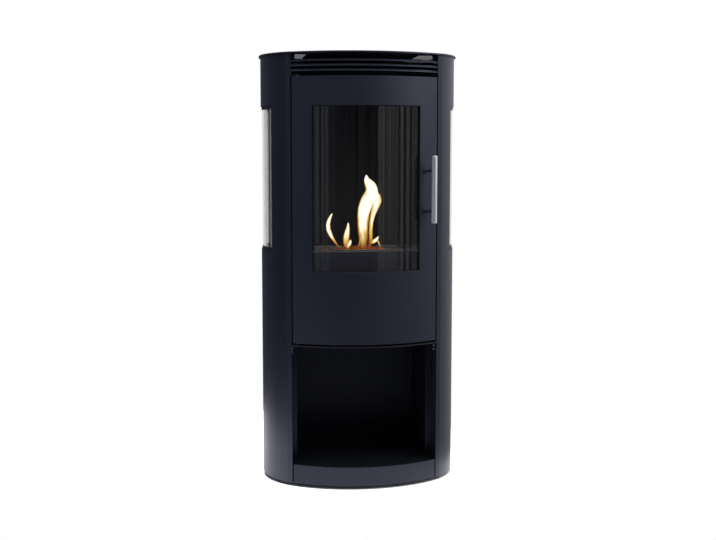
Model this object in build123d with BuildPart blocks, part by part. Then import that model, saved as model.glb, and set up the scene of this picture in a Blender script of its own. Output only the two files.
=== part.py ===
from build123d import *

import os
from math import asin, atan2, degrees, hypot, sqrt

# Free-standing bioethanol fireplace in the form of a slim stove: bowed front, curved glazed sides, a bowed
# glazed door over an open log compartment, and a louvre grille under the top plate.
# Millimetres. +Z up, front towards -Y, origin on the floor under the middle of the top plate. The front of the
# bow, the crease and the back are the lines that depths are measured from.

# ---------------------------------------------------------------- cabinet envelope
TOTAL_HEIGHT = 1050.0
SHELL_DEPTH = 343.0  # front of the bow to the back flanges of the side panels
BOW_RADIUS = 326.0
SIDE_RADIUS = 165.0  # from the crease to the widest point
SIDE_BULGE = 51.5  # how far the side stands out past the crease
REAR_RADIUS = 280.0  # from the widest point to the back corner
OPENING_WIDTH = 356.8  # between the two front posts
POST_FACE = 11.6  # lit strip from the opening to the crease
POST_DEPTH = 51.8  # return flange of the post
BACK_FLANGE = 34.0
SHEET = 2.0
FIT = 0.2  # between sheets of the cabinet that lie edge to face
TOP_SHEET = 4.0
OVERHANG = 4.0
TOP_BREAK = 0.8  # broken edge of the top plate
BACK_SHEET = 2.0

# ---------------------------------------------------------------- levels
FOOT_HEIGHT = 8.0
BASE_SHEET = 3.0
LOG_FLOOR_Z = 54.5  # top of the log floor, and of the plinth
HEARTH_Z = 349.5  # top of the shelf between log compartment and firebox
HEARTH_SHEET = 3.0
DECK_Z = 571.5  # top of the deck that holds the burner
GRILLE_HEIGHT = 53.5  # head of the door to the top plate
LINTEL_DROP = 7.5  # lintel below the head of the door

# ---------------------------------------------------------------- feet and base
FOOT_RADIUS = 17.0
FOOT_STUD_RADIUS = 4.0
FOOT_INSET = 91.5  # from the widest point of the side
FOOT_FRONT = 13.9  # behind the crease
FOOT_BACK = 60.0  # ahead of the back
RIM_HEIGHT = 15.0
PLINTH_FLANGE = 15.0

# ---------------------------------------------------------------- log compartment
LOG_SETBACK = 16.9  # from the post to the log wall
LOG_BACK = 58.0  # ahead of the back
LINER = 1.5
LINER_FLANGE = 15.0
SHELF_BACK = 51.0  # ahead of the back

# ---------------------------------------------------------------- screws
SCREW_SIDES = 8  # screws, their holes and their bosses are drawn with few sides
SCREW_RADIUS = 1.95
SCREW_HEAD_RADIUS = 3.5
SCREW_HEAD = 2.0
SCREW_LENGTH = 7.0
HOLE_PLAY = 0.15
TAB_DEPTH = 20.0
TAB_DROP = 24.0
TAB_SETBACK = 12.0  # behind the post's front edge
TAB_SCREW_DROP = 8.0
SCREW_PITCH = 9.0

# ---------------------------------------------------------------- side windows
SIDE_WINDOW_FRONT = 37.9  # behind the crease
SIDE_WINDOW_BACK = 55.0  # ahead of the back
SIDE_WINDOW_RISE = 2.5  # above the deck
SIDE_WINDOW_DROP = 120.0  # below the top plate
WINDOW_CORNER = 3.0
SIDE_GASKET = 1.0
GLASS = 4.0
GLASS_LAP = 10.0
CLIP_SHEET = 1.4
CLIP_WIDTH = 16.0
CLIP_REACH = 14.0

# ---------------------------------------------------------------- deck, firebox and burner seat
DECK_FRONT = 31.1  # behind the front edge of the post
FIREBOX_BACK = 42.0  # ahead of the back
FIREBOX_SHEET = 1.5
BAFFLE_GAP = 3.0  # beside each outlet, seen from above
LINTEL_DEPTH = 24.0
LINTEL_HEIGHT = 25.0

# ---------------------------------------------------------------- top plate outlets and lugs
OUTLET_EDGE = 43.5  # from the widest point of the side
OUTLET_WIDTH = 65.0
OUTLET_FRONT = 23.9  # behind the crease
OUTLET_BACK = 43.0  # ahead of the back
OUTLET_CORNER = 6.0
LUG_WIDTH = 10.0
LUG_DROP = 12.0

# ---------------------------------------------------------------- louvre grille
BLADE_PITCH = 11.7
BLADE_DROP = 16.0  # middle of the top blade below the top plate
BLADE_HEIGHT = 6.0
BLADE_DEPTH = 8.0
BLADE_LIP = 2.2
BLADE_SHEET = 1.5
BLADE_SETBACK = 1.0
BLADE_PLAY = 0.2
BRACKET_SHEET = 1.8
BRACKET_DEPTH = 31.0

# ---------------------------------------------------------------- door
DOOR_GAP = 3.0
DOOR_FOOT_GAP = 5.0
DOOR_SHEET = 2.5
DOOR_DEPTH = 18.0
WINDOW_MARGIN = 45.4  # beside the window
WINDOW_RISE = 174.5  # above the foot of the door
WINDOW_DROP = 68.5  # below the head of the door
DOOR_GASKET = 3.0
GASKET_WIDTH = 10.0
GASKET_SHOW = 1.5  # how far the gasket stands into the window
SEAT = 0.1  # between glass, gasket and what presses on them
DOOR_GLASS_LAP = 12.0
DOOR_CLIP_LAP = 8.0
DOOR_CLIP_LENGTH = 24.0
DOOR_CLIP_WIDTH = 14.0
DOOR_CLIP_SHEET = 1.5
DOOR_CLIP_ROWS = 3
DOOR_CLIP_END = 47.5  # from the end of the window to the first clip
BOSS_RADIUS = 4.5

# ---------------------------------------------------------------- hinge
HINGE_INSET = 13.4  # from the door's edge to the pin axis
HINGE_DEPTH = 9.0  # from the door's face to the pin axis, square to the face
PIN_RADIUS = 3.0
PIN_PLAY = 0.08
PIN_ENGAGE = 12.0
BUSH_RADIUS = 4.8
BUSH_FIT = 0.05
BUSH_FLANGE_RADIUS = 6.2
BUSH_FLANGE = 2.2
BUSH_FLANGE_TOP = 1.4
HINGE_SHEET = 2.5
HINGE_REST = 0.3  # under the bottom bush
TOP_CLEARANCE = 1.0  # over the top bush
HINGE_LEG = 24.0

# ---------------------------------------------------------------- catch
CATCH_HEIGHT = 22.0
CATCH_WIDTH = 22.0
CATCH_FRONT = 4.6  # behind the door's back corner
CATCH_DEPTH = 16.0
CATCH_GAP = 0.4
STRIKE_SHEET = 1.5
POLE_SHEET = 2.0

# ---------------------------------------------------------------- handle
HANDLE_INSET = 29.9  # from the door's edge to the stand-offs
HANDLE_REACH = 34.0  # from the door's face to the middle of the bar
BAR_RADIUS = 6.5
BAR_LENGTH = 160.0
BAR_RISE = 290.5  # above the foot of the door
STANDOFF_RADIUS = 4.0
STANDOFF_PITCH = 97.0
STANDOFF_RISE = 28.0  # lower stand-off above the foot of the bar
ROSETTE_RADIUS = 7.0
ROSETTE = 2.0
SOCKET = 3.0
HANDLE_SCREW_RADIUS = 2.4
HANDLE_SCREW_HEAD_RADIUS = 3.84
HANDLE_SCREW_HEAD = 2.0
HANDLE_SCREW_DEPTH = 12.0

# ---------------------------------------------------------------- burner
BURNER_LENGTH = 240.0
BURNER_WIDTH = 125.0
BURNER_SETBACK = 26.0  # behind the front of the deck
BURNER_RIM = 12.0
RIM_SHEET = 3.0
TRAY_SHEET = 1.5
TRAY_DEPTH = 50.0
TRAY_PLAY = 1.0
TRAY_CORNER = 4.0
INSERT_DROP = 7.5  # top of the fuel box below the rim
INSERT_PLAY = 0.3
SLOT_END = 9.7  # from each end of the fuel box
SLOT_FRONT = 9.0  # from the front of the fuel box
SLIDE_REAR = 11.4  # from the open slide to the back of the fuel box
SLIDE_LAP = 4.0
SLIDE_SHEET = 1.5
SLIDE_PLAY = 0.2
SLIDE_TAB = 5.0
SLIDE_TAB_LENGTH = 40.0
GUIDE_LIP = 3.0
SLIDE_END = 5.0  # beyond each end of the slot
WOOL_HEIGHT = 28.0
WOOL_PLAY = 1.0
RIM_REST = 0.2  # under the burner's rim

# ---------------------------------------------------------------- back
VENT_LENGTH = 46.0
VENT_WIDTH = 6.0
VENT_COLUMNS = 4
VENT_ROWS = 4
VENT_PITCH_X = 64.0
VENT_PITCH_Z = 16.0
LOWER_VENT_Z = 455.0
UPPER_VENT_DROP = 24.0  # below the lintel
BACK_SCREW_ROWS = 3
BACK_SCREW_END = 22.0
BACK_SCREW_EDGE = 12.0
BACK_SCREW_HEAD = 1.8

# ---------------------------------------------------------------- worked out from the above
FRONT_Y = -SHELL_DEPTH / 2
BACK_Y = SHELL_DEPTH / 2
BOW_CENTRE_Y = FRONT_Y + BOW_RADIUS
POST_X = OPENING_WIDTH / 2
CREASE_X = POST_X + POST_FACE
CREASE_Y = BOW_CENTRE_Y - sqrt(BOW_RADIUS**2 - CREASE_X**2)
BODY_HALF = CREASE_X + SIDE_BULGE
SIDE_CENTRE_X = BODY_HALF - SIDE_RADIUS
SIDE_CENTRE_Y = CREASE_Y + sqrt(SIDE_RADIUS**2 - (CREASE_X - SIDE_CENTRE_X) ** 2)
REAR_CENTRE_X = BODY_HALF - REAR_RADIUS
BACK_CORNER_X = REAR_CENTRE_X + sqrt(REAR_RADIUS**2 - (BACK_Y - SIDE_CENTRE_Y) ** 2)
SHELL_TOP = TOTAL_HEIGHT - TOP_SHEET
BASE_TOP = FOOT_HEIGHT + BASE_SHEET
BETWEEN_POSTS = POST_X - FIT
ABOVE_BASE = BASE_TOP + FIT
HEARTH_UNDER = HEARTH_Z - HEARTH_SHEET
DECK_UNDER = DECK_Z - SHEET
DOOR_X = POST_X - DOOR_GAP
DOOR_FOOT = HEARTH_Z + DOOR_FOOT_GAP
DOOR_HEAD = SHELL_TOP - GRILLE_HEIGHT
DOOR_HEIGHT = DOOR_HEAD - DOOR_FOOT
LINTEL_Z = DOOR_HEAD - LINTEL_DROP
WINDOW_Z = DOOR_FOOT + WINDOW_RISE
WINDOW_HEIGHT = DOOR_HEAD - WINDOW_DROP - WINDOW_Z
WINDOW_WIDTH = 2 * (DOOR_X - WINDOW_MARGIN)
WINDOW_MIDDLE = WINDOW_Z + WINDOW_HEIGHT / 2
HANDLE_X = DOOR_X - HANDLE_INSET
BAR_FOOT_Z = DOOR_FOOT + BAR_RISE
SIDE_GLASS_IN = SHEET + SIDE_GASKET
DECK_INSET = SIDE_GLASS_IN + GLASS + SEAT + CLIP_SHEET + 2 * FIT
HINGE_X = DOOR_X - HINGE_INSET
HINGE_Y = BOW_CENTRE_Y - sqrt((BOW_RADIUS - HINGE_DEPTH) ** 2 - HINGE_X**2)
POST_FRONT = BOW_CENTRE_Y - sqrt(BOW_RADIUS**2 - POST_X**2)
POST_BACK = POST_FRONT + POST_DEPTH
DECK_FRONT_Y = POST_FRONT + DECK_FRONT
BURNER_Y = DECK_FRONT_Y + BURNER_SETBACK + BURNER_WIDTH / 2
BLADE_TOP_Z = SHELL_TOP - BLADE_DROP
BLADE_MIDDLE_Z = BLADE_TOP_Z - BLADE_PITCH
BLADE_BOTTOM_Z = BLADE_MIDDLE_Z - BLADE_PITCH
LOUVRE_FOOT = BLADE_BOTTOM_Z - BLADE_HEIGHT / 2 - FIT
BOTTOM_ARM_TOP = DOOR_FOOT - BUSH_FLANGE - HINGE_REST
TOP_ARM_Z = DOOR_HEAD + BUSH_FLANGE_TOP + TOP_CLEARANCE
SHELF_BACK_Y = BACK_Y - SHELF_BACK
OUTLET_INNER_X = BODY_HALF - OUTLET_EDGE - OUTLET_WIDTH
SIDE_WINDOW_Z = DECK_Z + SIDE_WINDOW_RISE
SIDE_WINDOW_TOP = SHELL_TOP - SIDE_WINDOW_DROP
SIDE_WINDOW_HEIGHT = SIDE_WINDOW_TOP - SIDE_WINDOW_Z
SIDE_WINDOW_FRONT_Y = CREASE_Y + SIDE_WINDOW_FRONT
SIDE_WINDOW_BACK_Y = BACK_Y - SIDE_WINDOW_BACK
SIDE_WINDOW_DEPTH = SIDE_WINDOW_BACK_Y - SIDE_WINDOW_FRONT_Y
SIDE_WINDOW_MIDDLE = ((SIDE_WINDOW_FRONT_Y + SIDE_WINDOW_BACK_Y) / 2, (SIDE_WINDOW_Z + SIDE_WINDOW_TOP) / 2)


def bow_y(x, inset=0.0):
    """Y of the bowed front at x, on the arc set back by inset."""
    return BOW_CENTRE_Y - sqrt((BOW_RADIUS - inset) ** 2 - x**2)


def rear_x(y, inset=0.0):
    """Half width of the plan at y, on the rear arc set in by inset."""
    return REAR_CENTRE_X + sqrt((REAR_RADIUS - inset) ** 2 - (y - SIDE_CENTRE_Y) ** 2)


def bow_plane(x, z, inset=0.0):
    """Plane square to the bowed front where its face is at x, set back by inset, facing outwards."""
    across = x / BOW_RADIUS
    ahead = sqrt(1 - across**2)
    radius = BOW_RADIUS - inset
    return Plane(
        origin=(across * radius, BOW_CENTRE_Y - ahead * radius, z),
        x_dir=(ahead, across, 0),
        z_dir=(across, -ahead, 0),
    )


def crease(inset):
    """Corner between the bow and the side arc, on the plan set in by inset."""
    gap_y = SIDE_CENTRE_Y - BOW_CENTRE_Y
    reach = hypot(SIDE_CENTRE_X, gap_y)
    bow = BOW_RADIUS - inset
    side = SIDE_RADIUS - inset
    along = (bow**2 - side**2 + reach**2) / (2 * reach)
    across = sqrt(bow**2 - along**2)
    x = (along * SIDE_CENTRE_X - across * gap_y) / reach
    y = BOW_CENTRE_Y + (along * gap_y + across * SIDE_CENTRE_X) / reach
    return x, y


class CabinetPlan(BaseSketchObject):
    """The cabinet's plan, set in by inset all round: bow, side arcs, rear arcs and a flat back."""

    def __init__(self, inset=0.0, mode=Mode.ADD):
        corner = crease(inset)
        bow_angle = degrees(asin(corner[0] / (BOW_RADIUS - inset)))
        side_angle = degrees(atan2(corner[1] - SIDE_CENTRE_Y, corner[0] - SIDE_CENTRE_X))
        rear_rise = BACK_Y - inset - SIDE_CENTRE_Y
        rear_angle = degrees(asin(rear_rise / (REAR_RADIUS - inset)))
        with BuildSketch() as plan:
            with BuildLine():
                CenterArc((0, BOW_CENTRE_Y), BOW_RADIUS - inset, -90, bow_angle)
                CenterArc((SIDE_CENTRE_X, SIDE_CENTRE_Y), SIDE_RADIUS - inset, side_angle, -side_angle)
                rear = CenterArc((REAR_CENTRE_X, SIDE_CENTRE_Y), REAR_RADIUS - inset, 0, rear_angle)
                Line(rear @ 1, (0, BACK_Y - inset))
                mirror(about=Plane.YZ)
            make_face()
        super().__init__(plan.sketch, mode=mode)


class WallPatch(BaseSketchObject):
    """Stretch of the side wall, from inset to inset + depth, between two values of Y, on the side +X."""

    def __init__(self, y_front, y_back, inset, depth, mode=Mode.ADD):
        with BuildSketch() as patch:
            CabinetPlan(inset)
            CabinetPlan(inset + depth, mode=Mode.SUBTRACT)
            with Locations((CREASE_X, (y_front + y_back) / 2)):
                Rectangle(POST_X, y_back - y_front, align=(Align.MIN, Align.CENTER), mode=Mode.INTERSECT)
        super().__init__(patch.sketch, mode=mode)


class BowStrip(BaseSketchObject):
    """Strip that follows the bowed front, from inset to inset + depth, cut square at two values of X."""

    def __init__(self, x_left, x_right, inset, depth, mode=Mode.ADD):
        middle = (x_left + x_right) / 2
        with BuildSketch() as strip:
            with BuildLine():
                outer = ThreePointArc(
                    (x_left, bow_y(x_left, inset)),
                    (middle, bow_y(middle, inset)),
                    (x_right, bow_y(x_right, inset)),
                )
                inner = ThreePointArc(
                    (x_left, bow_y(x_left, inset + depth)),
                    (middle, bow_y(middle, inset + depth)),
                    (x_right, bow_y(x_right, inset + depth)),
                )
                Line(outer @ 0, inner @ 0)
                Line(outer @ 1, inner @ 1)
            make_face()
        super().__init__(strip.sketch, mode=mode)


class LouvreBlade(BasePartObject):
    """Bowed louvre blade, an upright lip with a web that climbs backwards, cut square at half_width."""

    def __init__(self, middle_z, half_width, play=0.0, mode=Mode.ADD):
        nose = BOW_RADIUS - BLADE_SETBACK
        heel = nose - BLADE_DEPTH
        foot = middle_z - BLADE_HEIGHT / 2
        head = foot + BLADE_HEIGHT
        with BuildPart() as blade:
            with BuildSketch(Plane.XZ.offset(-BOW_CENTRE_Y)):
                with BuildLine():
                    Polyline(
                        (nose, foot),
                        (nose, foot + BLADE_LIP),
                        (heel, head),
                        (heel, head - BLADE_SHEET),
                        (nose - BLADE_SHEET, foot + BLADE_LIP - BLADE_SHEET / 2),
                        (nose - BLADE_SHEET, foot),
                        close=True,
                    )
                make_face()
                if play > 0:
                    offset(amount=play, kind=Kind.INTERSECTION)
            revolve(axis=Axis((0, BOW_CENTRE_Y, 0), (0, 0, -1)), revolution_arc=180)
            with BuildSketch(Plane.XY.offset(middle_z - BLADE_PITCH)):
                BetweenX(-half_width, half_width, FRONT_Y - OVERHANG, BOW_CENTRE_Y)
            extrude(amount=2 * BLADE_PITCH, mode=Mode.INTERSECT)
        super().__init__(blade.part, mode=mode)


class BetweenX(BaseSketchObject):
    """Rectangle from two values of X and two of Y."""

    def __init__(self, x_left, x_right, y_front, y_back, mode=Mode.ADD):
        with BuildSketch() as area:
            with Locations(((x_left + x_right) / 2, (y_front + y_back) / 2)):
                Rectangle(abs(x_right - x_left), abs(y_back - y_front))
        super().__init__(area.sketch, mode=mode)


class ScrewBody(BasePartObject):
    """Straight length of a screw or of its hole, with few sides."""

    def __init__(self, radius, length, rotation=(0, 0, 0), align=Align.MIN, mode=Mode.ADD):
        with BuildPart() as body:
            with BuildSketch():
                RegularPolygon(radius, SCREW_SIDES)
            extrude(amount=length)
        super().__init__(body.part, rotation=rotation, align=(Align.CENTER, Align.CENTER, align), mode=mode)


def post_screw_places():
    """Side, Y and Z of each screw that goes through a post, as (side, y, z)."""
    places = []
    tab_y = POST_FRONT + TAB_SETBACK + TAB_DEPTH / 2
    louvre_y = POST_FRONT + BRACKET_DEPTH - SCREW_HEAD_RADIUS - 2 * FIT
    for side in (-1, 1):
        for step in (0, 1):
            places.append((side, tab_y, HEARTH_UNDER - TAB_SCREW_DROP - step * SCREW_PITCH))
        places.append((side, louvre_y, (LOUVRE_FOOT + SHELL_TOP) / 2))
    arm_y = (POST_FRONT + BRACKET_DEPTH + POST_BACK) / 2
    for step in (0, 1):
        places.append((-1, arm_y, TOP_ARM_Z + HINGE_SHEET + SCREW_HEAD_RADIUS + FIT + step * SCREW_PITCH))
    return places


POST_SCREWS = post_screw_places()

# ================================================================ cabinet: base, plinth and feet
with BuildPart() as glide_feet:
    foot_places = (
        (BODY_HALF - FOOT_INSET, CREASE_Y + FOOT_FRONT),
        (FOOT_INSET - BODY_HALF, CREASE_Y + FOOT_FRONT),
        (BODY_HALF - FOOT_INSET, BACK_Y - FOOT_BACK),
        (FOOT_INSET - BODY_HALF, BACK_Y - FOOT_BACK),
    )
    with Locations(*[(x, y, 0) for x, y in foot_places]):
        Cylinder(FOOT_RADIUS, FOOT_HEIGHT, align=(Align.CENTER, Align.CENTER, Align.MIN))
    with Locations(*[(x, y, FOOT_HEIGHT) for x, y in foot_places]):
        ScrewBody(FOOT_STUD_RADIUS, BASE_SHEET + RIM_HEIGHT / 2)

with BuildPart() as base_plate:
    with BuildSketch(Plane.XY.offset(FOOT_HEIGHT)):
        CabinetPlan(SHEET + FIT)
        with Locations(*foot_places):
            RegularPolygon(FOOT_STUD_RADIUS + HOLE_PLAY, SCREW_SIDES, mode=Mode.SUBTRACT)
    extrude(amount=BASE_SHEET)
    with BuildSketch(Plane.XY.offset(BASE_TOP)):
        CabinetPlan(SHEET + FIT)
        CabinetPlan(2 * SHEET + FIT, mode=Mode.SUBTRACT)
        BetweenX(-BODY_HALF, BODY_HALF, FRONT_Y, POST_BACK + 3 * SHEET, mode=Mode.SUBTRACT)
    extrude(amount=RIM_HEIGHT)

with BuildPart() as plinth_front:
    with BuildSketch(Plane.XY.offset(FOOT_HEIGHT)):
        BowStrip(-DOOR_X, DOOR_X, 0, SHEET)
    extrude(amount=LOG_FLOOR_Z - FOOT_HEIGHT)
    with BuildSketch(Plane.XY.offset(LOG_FLOOR_Z - 2 * SHEET)):
        BowStrip(-DOOR_X, DOOR_X, SHEET, PLINTH_FLANGE)
    extrude(amount=SHEET)
    with BuildSketch(Plane.XY.offset(ABOVE_BASE)):
        for side in (-1, 1):
            BetweenX(side * (DOOR_X - SHEET), side * DOOR_X, bow_y(DOOR_X), bow_y(DOOR_X) + PLINTH_FLANGE)
    extrude(amount=LOG_FLOOR_Z - 2 * SHEET - ABOVE_BASE)

# ================================================================ cabinet: side panels
with BuildPart() as side_shell:
    with BuildSketch(Plane.XY.offset(FOOT_HEIGHT)):
        CabinetPlan()
        CabinetPlan(SHEET, mode=Mode.SUBTRACT)
        BetweenX(-BODY_HALF, POST_X, FRONT_Y, SIDE_CENTRE_Y, mode=Mode.SUBTRACT)
        BetweenX(-BODY_HALF, BACK_CORNER_X - BACK_FLANGE, FRONT_Y, BACK_Y, mode=Mode.SUBTRACT)
    extrude(amount=SHELL_TOP - FOOT_HEIGHT)
    with BuildSketch(Plane.XY.offset(ABOVE_BASE)):
        BetweenX(POST_X, POST_X + SHEET, bow_y(POST_X + SHEET), POST_BACK)
    extrude(amount=SHELL_TOP - ABOVE_BASE)
    with BuildSketch(Plane.YZ.offset(CREASE_X + SHEET)):
        with Locations(SIDE_WINDOW_MIDDLE):
            RectangleRounded(SIDE_WINDOW_DEPTH, SIDE_WINDOW_HEIGHT, WINDOW_CORNER)
    extrude(amount=BODY_HALF, mode=Mode.SUBTRACT)
    back_screw_step = (SHELL_TOP - FOOT_HEIGHT - 2 * BACK_SCREW_END) / (BACK_SCREW_ROWS - 1)
    back_screw_x = BACK_CORNER_X - BACK_SCREW_EDGE
    back_screw_rows = [FOOT_HEIGHT + BACK_SCREW_END + row * back_screw_step for row in range(BACK_SCREW_ROWS)]
    with Locations(*[(back_screw_x, BACK_Y, z) for z in back_screw_rows]):
        ScrewBody(SCREW_RADIUS + HOLE_PLAY, 4 * SHEET, (90, 0, 0), Align.CENTER, Mode.SUBTRACT)

with BuildPart() as side_panel_right:
    add(side_shell.part)
    with Locations(*[(side * POST_X, y, z) for side, y, z in POST_SCREWS if side > 0]):
        ScrewBody(SCREW_RADIUS + HOLE_PLAY, 4 * SHEET, (0, 90, 0), Align.CENTER, Mode.SUBTRACT)

with BuildPart() as side_panel_left:
    mirror(side_shell.part, about=Plane.YZ)
    with Locations(*[(side * POST_X, y, z) for side, y, z in POST_SCREWS if side < 0]):
        ScrewBody(SCREW_RADIUS + HOLE_PLAY, 4 * SHEET, (0, 90, 0), Align.CENTER, Mode.SUBTRACT)

# ================================================================ cabinet: log compartment
log_x = POST_X - LOG_SETBACK
log_back_y = BACK_Y - LOG_BACK
liner_height = HEARTH_UNDER - LOG_FLOOR_Z - FIT

with BuildPart() as log_floor:
    with BuildSketch(Plane.XY.offset(LOG_FLOOR_Z - SHEET)):
        CabinetPlan(SHEET + FIT)
        BetweenX(-BETWEEN_POSTS, BETWEEN_POSTS, FRONT_Y, SHELF_BACK_Y, mode=Mode.INTERSECT)
    extrude(amount=SHEET)
    with BuildSketch(Plane.XY.offset(ABOVE_BASE)):
        BetweenX(-BETWEEN_POSTS, BETWEEN_POSTS, SHELF_BACK_Y - SHEET, SHELF_BACK_Y)
    extrude(amount=LOG_FLOOR_Z - SHEET - ABOVE_BASE)

with BuildPart() as log_wall_right:
    with BuildSketch(Plane.XY.offset(LOG_FLOOR_Z)):
        liner_front = POST_BACK
        liner_rear = log_back_y + LINER + FIT
        BetweenX(log_x, log_x + LINER, liner_front, liner_rear + LINER)
        BetweenX(log_x, BETWEEN_POSTS, liner_front, liner_front + LINER)
        BetweenX(log_x - LINER_FLANGE, log_x, liner_rear, liner_rear + LINER)
    extrude(amount=liner_height)

with BuildPart() as log_wall_left:
    mirror(log_wall_right.part, about=Plane.YZ)

with BuildPart() as log_wall_back:
    with BuildSketch(Plane.XY.offset(LOG_FLOOR_Z)):
        BetweenX(FIT - log_x, log_x - FIT, log_back_y, log_back_y + LINER)
    extrude(amount=liner_height)

with BuildPart() as hearth_shelf:
    with BuildSketch(Plane.XY.offset(HEARTH_UNDER)):
        CabinetPlan()
        BetweenX(-BETWEEN_POSTS, BETWEEN_POSTS, FRONT_Y, SHELF_BACK_Y, mode=Mode.INTERSECT)
    extrude(amount=HEARTH_SHEET)
    with BuildSketch(Plane.XY.offset(HEARTH_UNDER - TAB_DROP)):
        for side in (-1, 1):
            BetweenX(
                side * (BETWEEN_POSTS - SHEET),
                side * BETWEEN_POSTS,
                POST_FRONT + TAB_SETBACK,
                POST_FRONT + TAB_SETBACK + TAB_DEPTH,
            )
    extrude(amount=TAB_DROP)
    with Locations(*[(side * POST_X, y, z) for side, y, z in POST_SCREWS if z < HEARTH_Z]):
        ScrewBody(SCREW_RADIUS + HOLE_PLAY, 8 * SHEET, (0, 90, 0), Align.CENTER, Mode.SUBTRACT)

# ================================================================ cabinet: deck, firebox and baffle
with BuildPart() as firebox_deck:
    tray_length = BURNER_LENGTH - 2 * (BURNER_RIM - TRAY_SHEET)
    tray_width = BURNER_WIDTH - 2 * (BURNER_RIM - TRAY_SHEET)
    deck_back_y = BACK_Y - FIREBOX_BACK + FIREBOX_SHEET
    corner_y = POST_BACK + FIT
    with BuildSketch(Plane.XY.offset(DECK_UNDER)):
        CabinetPlan(DECK_INSET)
        BetweenX(-BODY_HALF, BODY_HALF, DECK_FRONT_Y, deck_back_y, mode=Mode.INTERSECT)
        for side in (-1, 1):
            BetweenX(side * BETWEEN_POSTS, side * BODY_HALF, FRONT_Y, corner_y, mode=Mode.SUBTRACT)
        with Locations((0, BURNER_Y)):
            RectangleRounded(
                tray_length + 2 * TRAY_PLAY, tray_width + 2 * TRAY_PLAY, TRAY_CORNER, mode=Mode.SUBTRACT
            )
    extrude(amount=SHEET)
    with BuildSketch(Plane.XY.offset(HEARTH_Z)):
        BetweenX(-BETWEEN_POSTS, BETWEEN_POSTS, DECK_FRONT_Y, DECK_FRONT_Y + SHEET)
        BetweenX(-BETWEEN_POSTS, BETWEEN_POSTS, SHELF_BACK_Y - 2 * SHEET, SHELF_BACK_Y - SHEET)
    extrude(amount=DECK_UNDER - HEARTH_Z)

with BuildPart() as firebox_back:
    with BuildSketch(Plane.XY.offset(DECK_Z)):
        back_half = rear_x(deck_back_y, SHEET + FIT)
        BetweenX(-back_half, back_half, deck_back_y - FIREBOX_SHEET, deck_back_y)
    extrude(amount=LINTEL_Z - DECK_Z)

with BuildPart() as door_lintel:
    lintel_back_y = POST_BACK - FIT
    with BuildSketch(Plane.XY.offset(LINTEL_Z - SHEET)):
        BetweenX(-BETWEEN_POSTS, BETWEEN_POSTS, lintel_back_y - LINTEL_DEPTH, lintel_back_y)
    extrude(amount=SHEET)
    with BuildSketch(Plane.XY.offset(LINTEL_Z - LINTEL_HEIGHT)):
        BetweenX(-BETWEEN_POSTS, BETWEEN_POSTS, lintel_back_y - SHEET, lintel_back_y)
    extrude(amount=LINTEL_HEIGHT - SHEET)

with BuildPart() as heat_baffle:
    with BuildSketch(Plane.XY.offset(LINTEL_Z)):
        baffle_half = OUTLET_INNER_X - BAFFLE_GAP
        BetweenX(-baffle_half, baffle_half, lintel_back_y - LINTEL_DEPTH, deck_back_y)
    extrude(amount=SHEET)

# ================================================================ cabinet: side glazing
with BuildPart() as side_gasket_right:
    with BuildSketch(Plane.XY.offset(SIDE_WINDOW_Z - GLASS_LAP)):
        WallPatch(SIDE_WINDOW_FRONT_Y - GLASS_LAP, SIDE_WINDOW_BACK_Y + GLASS_LAP, SHEET, SIDE_GASKET)
    extrude(amount=SIDE_WINDOW_HEIGHT + 2 * GLASS_LAP)
    with BuildSketch(Plane.YZ.offset(CREASE_X)):
        with Locations(SIDE_WINDOW_MIDDLE):
            Rectangle(SIDE_WINDOW_DEPTH, SIDE_WINDOW_HEIGHT)
    extrude(amount=BODY_HALF, mode=Mode.SUBTRACT)

with BuildPart() as side_gasket_left:
    mirror(side_gasket_right.part, about=Plane.YZ)

with BuildPart() as side_glass_right:
    with BuildSketch(Plane.XY.offset(SIDE_WINDOW_Z - GLASS_LAP)):
        WallPatch(SIDE_WINDOW_FRONT_Y - GLASS_LAP, SIDE_WINDOW_BACK_Y + GLASS_LAP, SIDE_GLASS_IN, GLASS)
    extrude(amount=SIDE_WINDOW_HEIGHT + 2 * GLASS_LAP)

with BuildPart() as side_glass_left:
    mirror(side_glass_right.part, about=Plane.YZ)

with BuildPart() as side_clips_right:
    glass_inner = SIDE_GLASS_IN + GLASS + SEAT
    clip_depth = glass_inner + CLIP_SHEET
    for clip_y in (SIDE_WINDOW_FRONT_Y + 2 * CLIP_WIDTH, SIDE_WINDOW_BACK_Y - 2 * CLIP_WIDTH):
        clip_span = (clip_y - CLIP_WIDTH / 2, clip_y + CLIP_WIDTH / 2)
        for direction in (-1, 1):
            edge_z = SIDE_WINDOW_Z - GLASS_LAP if direction < 0 else SIDE_WINDOW_TOP + GLASS_LAP
            step_z = edge_z + direction * FIT
            with BuildSketch(Plane.XY.offset(step_z)):
                WallPatch(*clip_span, SHEET, clip_depth - SHEET)
            extrude(amount=direction * CLIP_SHEET)
            with BuildSketch(Plane.XY.offset(step_z)):
                WallPatch(*clip_span, glass_inner, CLIP_SHEET)
            extrude(amount=-direction * GLASS_LAP)
            with BuildSketch(Plane.XY.offset(step_z)):
                WallPatch(*clip_span, SHEET, CLIP_SHEET)
            extrude(amount=direction * CLIP_REACH)

with BuildPart() as side_clips_left:
    mirror(side_clips_right.part, about=Plane.YZ)

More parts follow.
